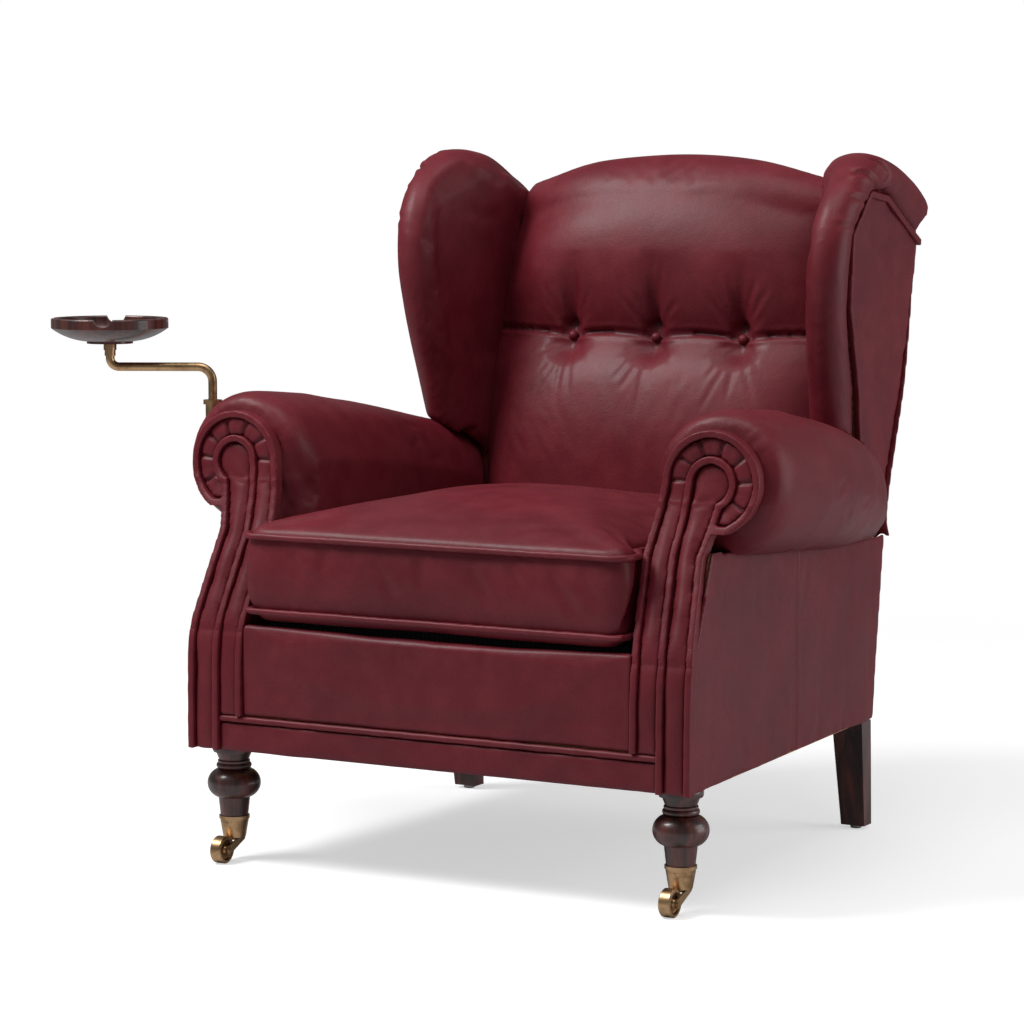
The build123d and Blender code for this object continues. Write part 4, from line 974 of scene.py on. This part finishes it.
@dataclass
class SeatCushion:
    """The loose cushion: a boxed, crowned bag with a cord along each edge."""

    voxel: float = 0.0055
    cord_low_z: float = 0.3425
    cord_high_z: float = 0.4405
    front_y: float = -0.318
    half: float = 0.2715
    rim_half: Spot = (0.262, 0.279)
    rim_middle_y: float = -0.038
    cord_hold: float = 0.011
    lean_low_z: float = 0.313
    lean_tall: float = 0.192
    lean_back: float = 0.092
    ear_spread: float = 0.013
    lie: Spot = (-0.004, -0.007)
    low_fill: float = 0.009
    low_fill_tall: float = 0.016
    crown: float = 0.013
    crown_y: float = -0.13
    crown_reach: float = 0.2
    rear_drop: float = 0.008

    def held(self, points: Array) -> Array:
        """Holds the skin at both cords.

        Args:
            points: The skin's points.

        Returns:
            Each point's share of holding.
        """
        away = np.minimum(abs(points[:, 2] - self.cord_low_z), abs(points[:, 2] - self.cord_high_z))
        out_x = abs(points[:, 0]) / self.rim_half[0]
        out_y = abs(points[:, 1] - self.rim_middle_y) / self.rim_half[1]
        edge = ease(0.86, 0.93, np.maximum(out_x, out_y))
        below = ease(self.cord_low_z + 0.002, self.cord_low_z - 0.004, points[:, 2])
        return np.maximum(edge * ease(self.cord_hold, 0.003, away), 0.9 * below)

    def build(self) -> None:
        """Builds the cushion and its cords."""
        bag = Skin("seat_cushion", self.voxel, 3)
        bag.swell(3.2, 0.016, self.held)
        bag.ripple(0.0012, 0.16, 3)
        bag.points = self.crowned(self.spread(bag.points))
        bag.crease(front_chart, self.front_folds(), self.front_gathers())
        bag.crease(top_chart, self.top_folds())
        bag.divide()
        bag.finish(0.7)
        cords = Skin("cushion_piping", 0.0022, 2)
        cords.ripple(0.0003, 0.018, 5)
        cords.points = self.spread(cords.points)
        cords.finish()

    def spread(self, points: Array) -> Array:
        """Lets the front corners spread over the arm fronts, as far as these lean back.

        Args:
            points: The skin's points.

        Returns:
            The moved points.
        """
        across, y, z = abs(points[:, 0]), points[:, 1], points[:, 2]
        lean = self.lean_back * np.clip((z - self.lean_low_z) / self.lean_tall, 0, 1)
        front = self.front_y - 0.004 + lean
        share = ease(-0.004, 0.014, front - y) * ease(0.19, self.half, across)
        low = np.exp(-(((z - self.cord_low_z - 0.004) / self.low_fill_tall) ** 2))
        edge = ease(0.235, 0.262, across) * ease(-0.24, -0.3, y)
        moved = points.copy()
        moved[:, 0] += np.sign(points[:, 0]) * (self.ear_spread * share + self.low_fill * low * edge)
        moved[:, :2] += np.array(self.lie) * ease(-0.12, -0.28, y)[:, None]
        return moved

    def crowned(self, points: Array) -> Array:
        """Raises the crown in front of the middle, and lowers it towards the back.

        Args:
            points: The skin's points.

        Returns:
            The moved points.
        """
        top = ease(self.cord_high_z, self.cord_high_z + 0.022, points[:, 2])
        across = np.clip(1 - (points[:, 0] / self.half) ** 2, 0, 1)
        along = np.clip(1 - ((points[:, 1] - self.crown_y) / self.crown_reach) ** 2, 0, 1)
        moved = points.copy()
        moved[:, 2] += top * (self.crown * across * along - self.rear_drop * ease(0.02, 0.2, points[:, 1]))
        return moved

    def front_folds(self) -> list[Fold]:
        """Slanting drag lines on the front boxing.

        Returns:
            The folds.
        """
        starts = (
            (-0.21, 0.43, 0.05, 0.5),
            (-0.16, 0.432, 0.036, 0.2),
            (-0.085, 0.425, 0.06, 0.6),
            (-0.02, 0.43, 0.045, 0.3),
            (0.05, 0.428, 0.062, 0.7),
            (0.11, 0.432, 0.05, 0.5),
            (0.165, 0.425, 0.07, 0.8),
            (0.215, 0.43, 0.055, 0.45),
        )
        return drag_lines(starts, 0.0021, 0.0075)

    def front_gathers(self) -> list[Gathers]:
        """Puckers under the upper cord and over the lower one.

        Returns:
            The gathers.
        """
        high = ((-self.half, self.cord_high_z), (self.half, self.cord_high_z))
        low = ((-self.half, self.cord_low_z), (self.half, self.cord_low_z))
        return [Gathers(high, 0.026, 0.0009, 0.016, 4), Gathers(low, 0.03, 0.0009, 0.014, 7)]

    def top_folds(self) -> list[Fold]:
        """Long soft creases on the crown, two behind the front cord and one along each side.

        Returns:
            The folds.
        """
        return [
            Fold(((-0.2, -0.29), (-0.08, -0.262), (0.05, -0.268)), 0.0012, 0.009),
            Fold(((0.06, -0.285), (0.16, -0.262), (0.235, -0.272)), 0.0012, 0.009),
            Fold(((-0.235, -0.22), (-0.19, -0.12), (-0.2, 0.0)), 0.0015, 0.012),
            Fold(((0.235, -0.2), (0.195, -0.1), (0.21, 0.03)), 0.0015, 0.012),
        ]


@dataclass
class InsideBack:
    """The inside back, drawn in along a crease at its three buttons.

    A row of pull_rows is a crease's turn from the level in degrees, its reach and its depth.
    """

    voxel: float = 0.0052
    button_z: float = 0.677
    button_x: tuple[float, ...] = (-0.1345, 0.0, 0.1345)
    button_hold: Spot = (0.02, 0.008)
    crease_z: float = 0.686
    crease_half: float = 0.275
    crease_hold: Spot = (0.014, 0.004)
    side_hold: Spot = (0.262, 0.28)
    foot_hold: Spot = (0.36, 0.345)
    dip_reach: float = 0.032
    settle_reach: float = 0.03
    level_reach: Spot = (0.044, 0.034)
    pad_front_y: Spot = (0.345, 0.335)
    pull_start: float = 0.008
    pull_width: float = 0.0036
    pull_rows: tuple[Row, ...] = (
        (44, 0.045, 0.0011),
        (60, 0.075, 0.0016),
        (76, 0.1, 0.0018),
        (93, 0.1, 0.0012),
        (110, 0.085, 0.0015),
        (128, 0.07, 0.0013),
        (-48, 0.05, 0.0006),
        (-72, 0.08, 0.0008),
        (-91, 0.095, 0.0009),
        (-112, 0.09, 0.0008),
        (-130, 0.07, 0.0008),
        (-150, 0.055, 0.0006),
    )

    def from_button(self, points: Array) -> Array:
        """How far points lie from their nearest button, seen from the front."""
        up = points[:, 2] - self.button_z
        return np.min([np.hypot(points[:, 0] - x, up) for x in self.button_x], axis=0)

    def held(self, points: Array) -> Array:
        """Holds the skin at its buttons, along the crease, at its sides and at its foot.

        Args:
            points: The skin's points.

        Returns:
            Each point's share of holding.
        """
        buttons = ease(*self.button_hold, self.from_button(points))
        crease = 0.8 * ease(*self.crease_hold, abs(points[:, 2] - self.crease_z))
        sides = ease(*self.side_hold, abs(points[:, 0]))
        foot = ease(*self.foot_hold, points[:, 2])
        return np.maximum.reduce([buttons, crease, sides, foot])

    def build(self) -> None:
        """Builds the padded back and its buttons."""
        back = Skin("inside_back", self.voxel, 3)
        back.swell(2.2, 0.009, self.held)
        back.ripple(0.001, 0.2, 11)
        back.points = self.settled(back.points)
        back.level(self.below_buttons(back.points), 80)
        back.hollow(front_chart, self.valleys())
        back.crease(front_chart, self.crease_line() + self.pulls())
        back.divide()
        back.finish(0.6)
        buttons = Skin("back_buttons", 0.0008, 2)
        buttons.finish()

    def dip(self, across: Array) -> Array:
        """How far the crease dips towards its nearest button.

        Args:
            across: Places across the back.

        Returns:
            The dips, in metres.
        """
        nearest = np.min([abs(across - x) for x in self.button_x], axis=0)
        return (self.crease_z - self.button_z) * np.exp(-nearest / self.dip_reach)

    def settled(self, points: Array) -> Array:
        """Draws the crease down to the buttons and narrows the pad's top.

        Args:
            points: The skin's points.

        Returns:
            The moved points.
        """
        moved = points.copy()
        near = np.exp(-(((points[:, 2] - self.crease_z) / self.settle_reach) ** 2))
        moved[:, 2] -= self.dip(points[:, 0]) * near
        moved[:, 0] -= np.sign(points[:, 0]) * corner_fill(points) * ease(0.1, 0.28, abs(points[:, 0]))
        return moved

    def below_buttons(self, points: Array) -> Array:
        """Marks the skin under each button, which runs smoothly out of the crease.

        Args:
            points: The skin's points.

        Returns:
            Each point's share.
        """
        near = ease(*self.level_reach, self.from_button(points))
        below = ease(self.button_z - 0.001, self.button_z - 0.007, points[:, 2])
        return near * below * ease(*self.pad_front_y, points[:, 1])

    def crease_line(self) -> list[Fold]:
        """The tufting crease from wing to wing, which dips to each button.

        Returns:
            The folds.
        """
        across = np.linspace(-self.crease_half, self.crease_half, 60)
        path = tuple(zip(across, self.crease_z - self.dip(across)))
        return [Fold(path, 0.005, 0.0034, 0.25, 0.0)]

    def valleys(self) -> list[Valley]:
        """The hollow that each button draws into the pad, deep above it and shallow below.

        Returns:
            The valleys.
        """
        made = []
        for x in self.button_x:
            made.append(Valley((x, self.button_z + 0.004), 0.12, 0.022, 0.012, 0.24, 0.05))
            made.append(Valley((x, self.button_z - 0.004), -0.11, 0.0035, 0.014, 0.3))
        return made

    def pulls(self) -> list[Fold]:
        """Creases that spread from each button, long above and short below.

        Returns:
            The folds.
        """
        folds = []
        chance = np.random.default_rng(21)
        for x in self.button_x:
            for degrees, reach, depth in self.pull_rows:
                turn = math.radians(degrees + chance.uniform(-5, 5))
                reach *= chance.uniform(0.85, 1.15)
                bend = chance.uniform(-0.12, 0.12)
                path = []
                for share in (0.0, 0.35, 0.7, 1.0):
                    out = self.pull_start + reach * share
                    way = turn + bend * share
                    path.append((x + out * math.cos(way), self.button_z + out * math.sin(way)))
                folds.append(Fold(tuple(path), depth, self.pull_width, 0.5, 0.25))
        return folds


@dataclass
class Sided:
    """A sub-assembly that the chair has on both sides."""

    side: Side

    def node(self, name: str) -> str:
        """The name of this side's node."""
        return f"{name}_{self.side.word}"

    def seed(self, middle: int) -> int:
        """A seed of this side's own, next to the one given."""
        return middle + self.side.value


@dataclass
class Arm(Sided):
    """One scroll arm: pad with its roll, facing, pleated band, cords and outer panel.

    taper gives the roll's radius at shares of its length; knees give where the front bends and how much.
    """

    roll_x: float = 0.35
    roll_front_y: float = -0.23
    roll_rear_y: float = 0.3
    roll_around: float = 0.088
    seam_z: Spot = (0.4424, 0.406)
    taper: tuple[Spot, ...] = (
        (0.0, 0.09),
        (0.3, 0.09),
        (0.5, 0.0846),
        (0.7, 0.0747),
        (0.85, 0.063),
        (1.0, 0.0486),
    )
    middle_share: float = 0.985
    eye_z: float = 0.53
    eye_around: float = 0.05
    pleat_turns: tuple[int, ...] = (176, 143, 108, 72, 36, 2, -36)
    pleat_layers: tuple[Spot, ...] = ((0.003, 0.0019), (0.0016, 0.005))
    knees: tuple[Spot, ...] = ((0.313, 0.48), (0.505, -0.48))
    bend: float = 0.03
    voxel: float = 0.005

    def roll_chart(self, points: Array, normals: Array) -> tuple[Array, Array, Array]:
        """Back along the roll, and round it from its top towards the outside.

        Args:
            points: The skin's points.
            normals: The way out at each; not used.

        Returns:
            Both coordinates in metres, and ones, because the whole roll is shown.
        """
        way = (points[:, 1] - self.roll_front_y) / (self.roll_rear_y - self.roll_front_y)
        half = np.interp(way, *zip(*self.taper))
        middle_z = self.seam_z[0] + (self.seam_z[1] - self.seam_z[0]) * way + self.middle_share * half
        across = self.side.value * points[:, 0] - (self.roll_x - self.taper[0][1]) - half
        turn = np.arctan2(across, points[:, 2] - middle_z)
        return points[:, 1], turn * self.roll_around, np.ones(len(points))

    def scroll_chart(self, points: Array, normals: Array) -> tuple[Array, Array, Array]:
        """Round the scroll's eye, and out from it.

        Args:
            points: The skin's points.
            normals: The way out at each.

        Returns:
            Both coordinates in metres, and the share that faces the front.
        """
        across = self.side.value * (points[:, 0] - self.side.value * self.roll_x)
        up = points[:, 2] - self.eye_z
        return np.arctan2(up, across) * self.eye_around, np.hypot(across, up), shown(-normals[:, 1])

    def relax(self, points: Array) -> Array:
        """Rounds the two bends of the arm's front, where it starts and stops to lean back.

        Args:
            points: The skin's points.

        Returns:
            The moved points.
        """
        moved = points.copy()
        front = ease(-0.15, -0.22, points[:, 1])
        for knee_z, slope in self.knees:
            away = (points[:, 2] - knee_z) / self.bend
            moved[:, 1] += front * slope * self.bend * (np.sqrt(away**2 + 1) - abs(away)) / 2
        return moved

    def build(self) -> None:
        """Builds all pieces of the arm."""
        self.build_pad()
        self.build_facing()
        self.build_band()
        self.build_cords()
        self.build_panel()

    def build_pad(self) -> None:
        """Builds the pad with its roll."""
        pad = Skin(self.node("arm_pad"), self.voxel, 4)
        pad.swell(1.6, 0.005, free)
        pad.ripple(0.0011, 0.13, self.seed(31))
        pad.crease(self.roll_chart, self.roll_folds(), self.roll_gathers())
        pad.points = self.relax(pad.points)
        pad.divide()
        pad.finish(0.75)

    def roll_gathers(self) -> list[Gathers]:
        """Puckers at the roll's front, at its rear and along the seam under it.

        Returns:
            The gathers.
        """
        nose = ((-0.232, -0.3), (-0.232, 0.3))
        heel = ((0.3, -0.3), (0.3, 0.3))
        seam = ((-0.2, 0.245), (0.28, 0.245))
        return [
            Gathers(nose, 0.021, 0.0018, 0.022, 13),
            Gathers(heel, 0.03, 0.0016, 0.03, 17),
            Gathers(seam, 0.028, 0.0014, 0.018, 19),
        ]

    def roll_folds(self) -> list[Fold]:
        """Drag lines on the roll.

        Returns:
            The folds.
        """
        folds = []
        chance = np.random.default_rng(self.seed(40))
        for _ in range(11):
            y, turn = chance.uniform(-0.21, 0.16), chance.uniform(-0.16, 0.21)
            reach, lean = chance.uniform(0.03, 0.08), chance.uniform(-0.5, 0.5)
            middle = (y + reach * 0.5, turn + reach * lean * 0.4)
            path = ((y, turn), middle, (y + reach, turn + reach * lean))
            folds.append(Fold(path, chance.uniform(0.0006, 0.0014), 0.006))
        return folds

    def build_facing(self) -> None:
        """Builds the facing, which is swelled and lightly puckered along its edges."""
        facing = Skin(self.node("arm_facing"), 0.0032, 4)
        facing.swell(2.0, 0.0055, free)
        facing.ripple(0.0008, 0.06, self.seed(51))
        turn = self.side.value
        inner = ((turn * 0.3, 0.5), (turn * 0.308, 0.44), (turn * 0.32, 0.3))
        outer = ((turn * 0.356, 0.44), (turn * 0.367, 0.3))
        gathers = [Gathers(inner, 0.024, 0.0005, 0.009, 47), Gathers(outer, 0.029, 0.0005, 0.009, 53)]
        facing.crease(front_chart, [], gathers)
        facing.points = self.relax(facing.points)
        facing.divide()
        facing.finish(0.7)

    def build_band(self) -> None:
        """Builds the pleated band round the scroll."""
        band = Skin(self.node("arm_band"), 0.0026, 4)
        band.swell(1.8, 0.0045, free)
        band.crease(self.scroll_chart, self.pleats())
        band.ripple(0.0007, 0.05, self.seed(61))
        band.points = self.relax(band.points)
        band.divide()
        band.finish(0.7)

    def pleats(self) -> list[Fold]:
        """The band's pleats round the scroll's eye, each a narrow cut in a wide hollow.

        Returns:
            The folds.
        """
        folds = []
        for turn in self.pleat_turns:
            inner = (math.radians(turn) * self.eye_around, 0.03)
            outer = (math.radians(turn + 5) * self.eye_around, 0.09)
            for depth, width in self.pleat_layers:
                folds.append(Fold((inner, outer), depth, width, 0.3, 0.0))
        return folds

    def build_cords(self) -> None:
        """Builds the cords of the arm's front."""
        cords = Skin(self.node("arm_piping"), 0.0019, 2)
        cords.ripple(0.0003, 0.016, 71)
        cords.points = self.relax(cords.points)
        cords.finish()

    def build_panel(self) -> None:
        """Builds the outer panel, with its upright seam."""
        panel = Skin(self.node("outside_arm"), 0.0045, 3)
        panel.points = self.relax(stretched(panel.points, 0.006, 0.005))
        panel.ripple(0.001, 0.15, self.seed(81))
        seam = Fold(((0.03, 0.15), (0.03, 0.43)), 0.0024, 0.0024, 0.5, 0.0)
        top = Gathers(((-0.23, 0.44), (0.3, 0.412)), 0.034, 0.0012, 0.026, 23)
        foot = Gathers(((-0.32, 0.158), (0.33, 0.158)), 0.05, 0.0009, 0.02, 29)
        panel.crease(side_chart(self.side), [seam, *self.panel_folds()], [top, foot])
        panel.divide()
        panel.finish(0.3)

    def panel_folds(self) -> list[Fold]:
        """Slanting drag lines under the roll and over the base.

        Returns:
            The folds.
        """
        starts = (
            (-0.2, 0.43, 0.06, -0.3),
            (-0.12, 0.43, 0.09, 0.15),
            (-0.05, 0.425, 0.07, 0.35),
            (0.07, 0.425, 0.09, -0.25),
            (0.14, 0.42, 0.06, 0.2),
            (0.22, 0.415, 0.1, 0.1),
            (-0.16, 0.21, 0.05, 0.4),
            (0.12, 0.2, 0.05, -0.4),
        )
        return drag_lines(starts, 0.0008, 0.009)


@dataclass
class Wing(Sided):
    """One wing: rolled pad, outer panel and its cord.

    Its faces are given by how far out they are: at the origin, and more for each metre back and up.
    """

    voxel: float = 0.005
    rise: float = 0.0
    inner_face: Row = (0.2455, -0.08, 0.085)
    outer_face: Row = (0.3016, 0.018, 0.047)
    seam: tuple[Spot, ...] = (
        (0.293, 0.459),
        (0.261, 0.62),
        (0.221, 0.731),
        (0.218, 0.822),
        (0.265, 0.876),
        (0.318, 0.87),
        (0.384, 0.835),
        (0.5, 0.778),
    )

    def build(self) -> None:
        """Builds the wing's pieces."""
        pad = Skin(self.node("wing_pad"), self.voxel, 4)
        pad.swell(1.6, 0.005, self.held)
        pad.ripple(0.0012, 0.14, self.seed(91))
        pad.crease(side_chart(self.side), [Fold(self.seam, 0.006, 0.018, 0.0, 0.0), *self.corner_folds()])
        pad.crease(side_chart(self.side, False), self.inner_folds())
        pad.points = self.filled(pad.points)
        pad.divide()
        pad.finish(0.7)
        panel = Skin(self.node("wing_outer_panel"), 0.004, 3)
        panel.points = self.lifted(stretched(panel.points, 0.01, 0.007))
        panel.ripple(0.001, 0.09, self.seed(101))
        panel.crease(side_chart(self.side), [], [Gathers(self.seam, 0.03, 0.0012, 0.02, 31)])
        panel.divide()
        panel.finish(0.3)
        cord = Skin(self.node("wing_piping"), 0.0019, 2)
        cord.points = self.lifted(cord.points)
        cord.finish()

    def held(self, points: Array) -> Array:
        """Holds the skin at the outer panel's cord.

        Args:
            points: The skin's points.

        Returns:
            Each point's share of holding.
        """
        away, _, _ = along_path(points[:, 1], points[:, 2], self.seam)
        return ease(0.014, 0.006, away) * ease(0.3, 0.32, self.side.value * points[:, 0])

    def lifted(self, points: Array) -> Array:
        """Raises the wing's top in front of the back's corner.

        Args:
            points: The skin's points.

        Returns:
            The moved points.
        """
        moved = points.copy()
        moved[:, 2] += self.rise * ease(0.76, 0.9, points[:, 2]) * ease(0.41, 0.33, points[:, 1])
        return moved

    def filled(self, points: Array) -> Array:
        """Fills the wing out against the back's top, where its inner face swings in.

        Args:
            points: The skin's points.

        Returns:
            The moved points.
        """
        moved = self.lifted(points)
        across = self.side.value * points[:, 0]
        inner, outer = (
            at + per_y * points[:, 1] + per_z * points[:, 2]
            for at, per_y, per_z in (self.inner_face, self.outer_face)
        )
        share = np.clip((outer - across) / (outer - inner), 0, 1)
        moved[:, 0] -= self.side.value * corner_fill(points) * share
        return moved

    def corner_folds(self) -> list[Fold]:
        """Pleats that fan from the outer panel's front top corner over the roll.

        Returns:
            The folds.
        """
        return [
            Fold(path, depth, 0.0034, 0.6, 0.12)
            for path, depth in (
                (((0.271, 0.877), (0.268, 0.892), (0.247, 0.909), (0.215, 0.913)), 0.0034),
                (((0.279, 0.882), (0.308, 0.907), (0.294, 0.923), (0.272, 0.93)), 0.0034),
                (((0.248, 0.861), (0.237, 0.871), (0.203, 0.878)), 0.0026),
                (((0.23, 0.831), (0.22, 0.838), (0.173, 0.84)), 0.0022),
                (((0.306, 0.881), (0.335, 0.894), (0.346, 0.903)), 0.002),
            )
        ]

    def inner_folds(self) -> list[Fold]:
        """Soft creases along the rolled edge, on the sitter's side.

        Returns:
            The folds.
        """
        return [
            Fold(((0.232, 0.9), (0.205, 0.83), (0.2, 0.76)), 0.0006, 0.009),
            Fold(((0.215, 0.74), (0.222, 0.68), (0.236, 0.62)), 0.0006, 0.009),
            Fold(((0.25, 0.86), (0.29, 0.84), (0.34, 0.845)), 0.0013, 0.009),
        ]


@dataclass
class Covers:
    """Flat covered panels: outside back, front border, base border and welt."""

    welt_z: float = 0.198

    def build(self) -> None:
        """Builds the panels."""
        self.build_back()
        self.build_border()
        base = Skin("base_border", 0.003, 2)
        base.ripple(0.0006, 0.08, 131)
        base.divide()
        base.finish(0.2)
        welt = Skin("front_welt", 0.0019, 2)
        welt.ripple(0.0003, 0.02, 141)
        welt.finish()

    def build_back(self) -> None:
        """Builds the outside back, puckered at its foot and its crest."""
        back = Skin("outside_back", 0.0055, 3)
        back.points = self.drawn_in(back.points)
        back.ripple(0.0008, 0.17, 111)
        foot = ((-0.3, 0.16), (0.3, 0.16))
        crest = ((-0.28, 0.86), (0.0, 0.878), (0.28, 0.86))
        gathers = [Gathers(foot, 0.06, 0.0016, 0.02, 37), Gathers(crest, 0.05, 0.0018, 0.03, 41)]
        back.crease(back_chart, [], gathers)
        back.divide()
        back.finish(0.2)

    def drawn_in(self, points: Array) -> Array:
        """Draws the outside back in at its sides above the arms, most of all just over them.

        Args:
            points: The skin's points.

        Returns:
            The moved points.
        """
        above = ease(0.38, 0.44, points[:, 2])
        inward = 0.005 * above + 0.007 * above * ease(0.62, 0.46, points[:, 2])
        moved = points.copy()
        moved[:, 0] -= np.sign(points[:, 0]) * inward * ease(0.2, 0.3, abs(points[:, 0]))
        return moved

    def build_border(self) -> None:
        """Builds the padded front border, puckered under its top edge."""
        border = Skin("front_border", 0.0034, 3)
        border.swell(1.6, 0.004, self.border_held)
        border.ripple(0.0009, 0.1, 121)
        border.crease(front_chart, [], [Gathers(((-0.28, 0.302), (0.28, 0.302)), 0.05, 0.001, 0.014, 43)])
        border.divide()
        border.finish(0.4)

    def border_held(self, points: Array) -> Array:
        """Holds the front border at its foot and its ends.

        Args:
            points: The skin's points.

        Returns:
            Each point's share of holding.
        """
        foot = ease(self.welt_z + 0.022, self.welt_z + 0.012, points[:, 2])
        return np.maximum(foot, ease(0.268, 0.278, abs(points[:, 0])))


@dataclass
class Hardware:
    """The hard pieces, which keep their solids and get a finish each."""

    def build(self) -> None:
        """Dresses every node that no leather piece stands for."""
        slots = {part["node"]: part["material_slot"] for part in frame["record"]["subparts"]}
        for name, node in frame["nodes"].items():
            if node.hide_render:
                continue
            node.data.materials.clear()
            node.data.materials.append(FINISHES[slots[name]].material())
            log.info("%s: dressed in %s", name, slots[name])


@dataclass(frozen=True)
class SoftBox:
    """A square lamp: where it hangs, what it is aimed at, how wide it is and its watts."""

    name: str
    at: Point
    aim: Point
    size: float
    watts: float

    def build(self) -> None:
        """Hangs the lamp."""
        lamp = bpy.data.lights.new(self.name, "AREA")
        lamp.shape = "SQUARE"
        lamp.size = self.size
        lamp.energy = self.watts
        holder = bpy.data.objects.new(self.name, lamp)
        bpy.context.scene.collection.objects.link(holder)
        holder.location = self.at
        way = np.array(self.aim) - np.array(self.at)
        flat = math.hypot(way[0], way[1])
        holder.rotation_euler = (math.atan2(flat, -way[2]), 0, math.atan2(way[1], way[0]) - math.pi / 2)


@dataclass
class Studio:
    """White floor, soft lights and the camera at the photograph's angle."""

    lens_mm: float = 114.45
    sensor_mm: float = 36.0
    camera_at: Point = (2.0622, -3.8256, 0.9017)
    camera_pitch: float = 5.85
    camera_turn: float = 29.0
    camera_reach: float = 60
    floor_half: float = 14.0
    floor_grey: Colour = (0.62, 0.62, 0.63)
    floor_lift: float = 0.55
    white_from: float = 1.1
    white_to: float = 2.8
    world_light: float = 0.2
    lamps: tuple[SoftBox, ...] = (
        SoftBox("key", (-1.9, -1.6, 3.3), (0.0, 0.0, 0.5), 1.4, 132.0),
        SoftBox("fill", (3.0, 1.1, 1.1), (0.1, 0.0, 0.5), 2.2, 44.0),
        SoftBox("top", (0.5, -0.6, 3.3), (0.0, 0.0, 0.4), 1.8, 38.0),
    )

    def build(self) -> None:
        """Sets up the floor, the world, the lights and the camera."""
        self.build_floor()
        self.build_world()
        for lamp in self.lamps:
            lamp.build()
        self.build_camera()
        bpy.context.scene.view_settings.view_transform = "Standard"

    def build_floor(self) -> None:
        """Lays the floor, which fades from a grey that takes the chair's shadow to plain white."""
        half = self.floor_half
        corners = [(-half, -half, 0), (half, -half, 0), (half, half, 0), (-half, half, 0)]
        mesh = bpy.data.meshes.new("floor")
        mesh.from_pydata(corners, [], [(0, 1, 2, 3)])
        floor = bpy.data.objects.new("floor", mesh)
        bpy.context.scene.collection.objects.link(floor)
        material = bpy.data.materials.new("floor_white")
        material.use_nodes = True
        graph = Graph(material.node_tree)
        away = graph.add("ShaderNodeVectorMath", {"operation": "LENGTH"}, {0: graph.place()}, out=1)
        far = graph.window(away, self.white_from, self.white_to)
        matt = graph.add("ShaderNodeBsdfDiffuse", {}, {"Color": (*self.floor_grey, 1)})
        lift = graph.add("ShaderNodeEmission", {}, {"Color": WHITE, "Strength": self.floor_lift})
        near = graph.add("ShaderNodeAddShader", {}, {0: matt, 1: lift})
        white = graph.add("ShaderNodeEmission", {}, {"Color": WHITE, "Strength": 1.0})
        seen = graph.add("ShaderNodeMixShader", {}, {0: far, 1: near, 2: white})
        direct = graph.add("ShaderNodeLightPath", out="Is Camera Ray")
        mixed = graph.add("ShaderNodeMixShader", {}, {0: direct, 1: matt, 2: seen})
        graph.add("ShaderNodeOutputMaterial", {}, {"Surface": mixed})
        mesh.materials.append(material)

    def build_world(self) -> None:
        """Sets a world that is white to the camera and a soft grey to everything else."""
        world = bpy.data.worlds.new("studio")
        bpy.context.scene.world = world
        world.use_nodes = True
        graph = Graph(world.node_tree)
        white = graph.add("ShaderNodeBackground", {}, {"Color": WHITE, "Strength": 1.0})
        soft = graph.add("ShaderNodeBackground", {}, {"Color": WHITE, "Strength": self.world_light})
        seen = graph.add("ShaderNodeLightPath", out="Is Camera Ray")
        mixed = graph.add("ShaderNodeMixShader", {}, {0: seen, 1: soft, 2: white})
        graph.add("ShaderNodeOutputWorld", {}, {"Surface": mixed})
    def build_camera(self) -> None:
        """Sets the camera where the photograph was taken."""
        view = bpy.data.cameras.new("view")
        view.lens = self.lens_mm
        view.sensor_width = self.sensor_mm
        view.clip_end = self.camera_reach
        holder = bpy.data.objects.new("view", view)
        bpy.context.scene.collection.objects.link(holder)
        holder.location = self.camera_at
        holder.rotation_euler = (math.radians(90 - self.camera_pitch), 0, math.radians(self.camera_turn))
        bpy.context.scene.camera = holder


@dataclass
class Chair:
    """The whole chair."""

    parts: list[Assembly] = field(
        default_factory=lambda: [
            SeatCushion(),
            InsideBack(),
            Arm(Side.LEFT),
            Arm(Side.RIGHT),
            Wing(Side.LEFT, rise=0.009),
            Wing(Side.RIGHT),
            Covers(),
            Hardware(),
        ]
    )

    def build(self) -> None:
        """Builds each part in turn."""
        for part in self.parts:
            log.info("building %s", type(part).__name__)
            part.build()


def main() -> None:
    """Builds the chair and its studio."""
    logging.basicConfig(level=logging.INFO, format="%(message)s")
    Chair().build()
    Studio().build()


if __name__ == "__main__":
    main()
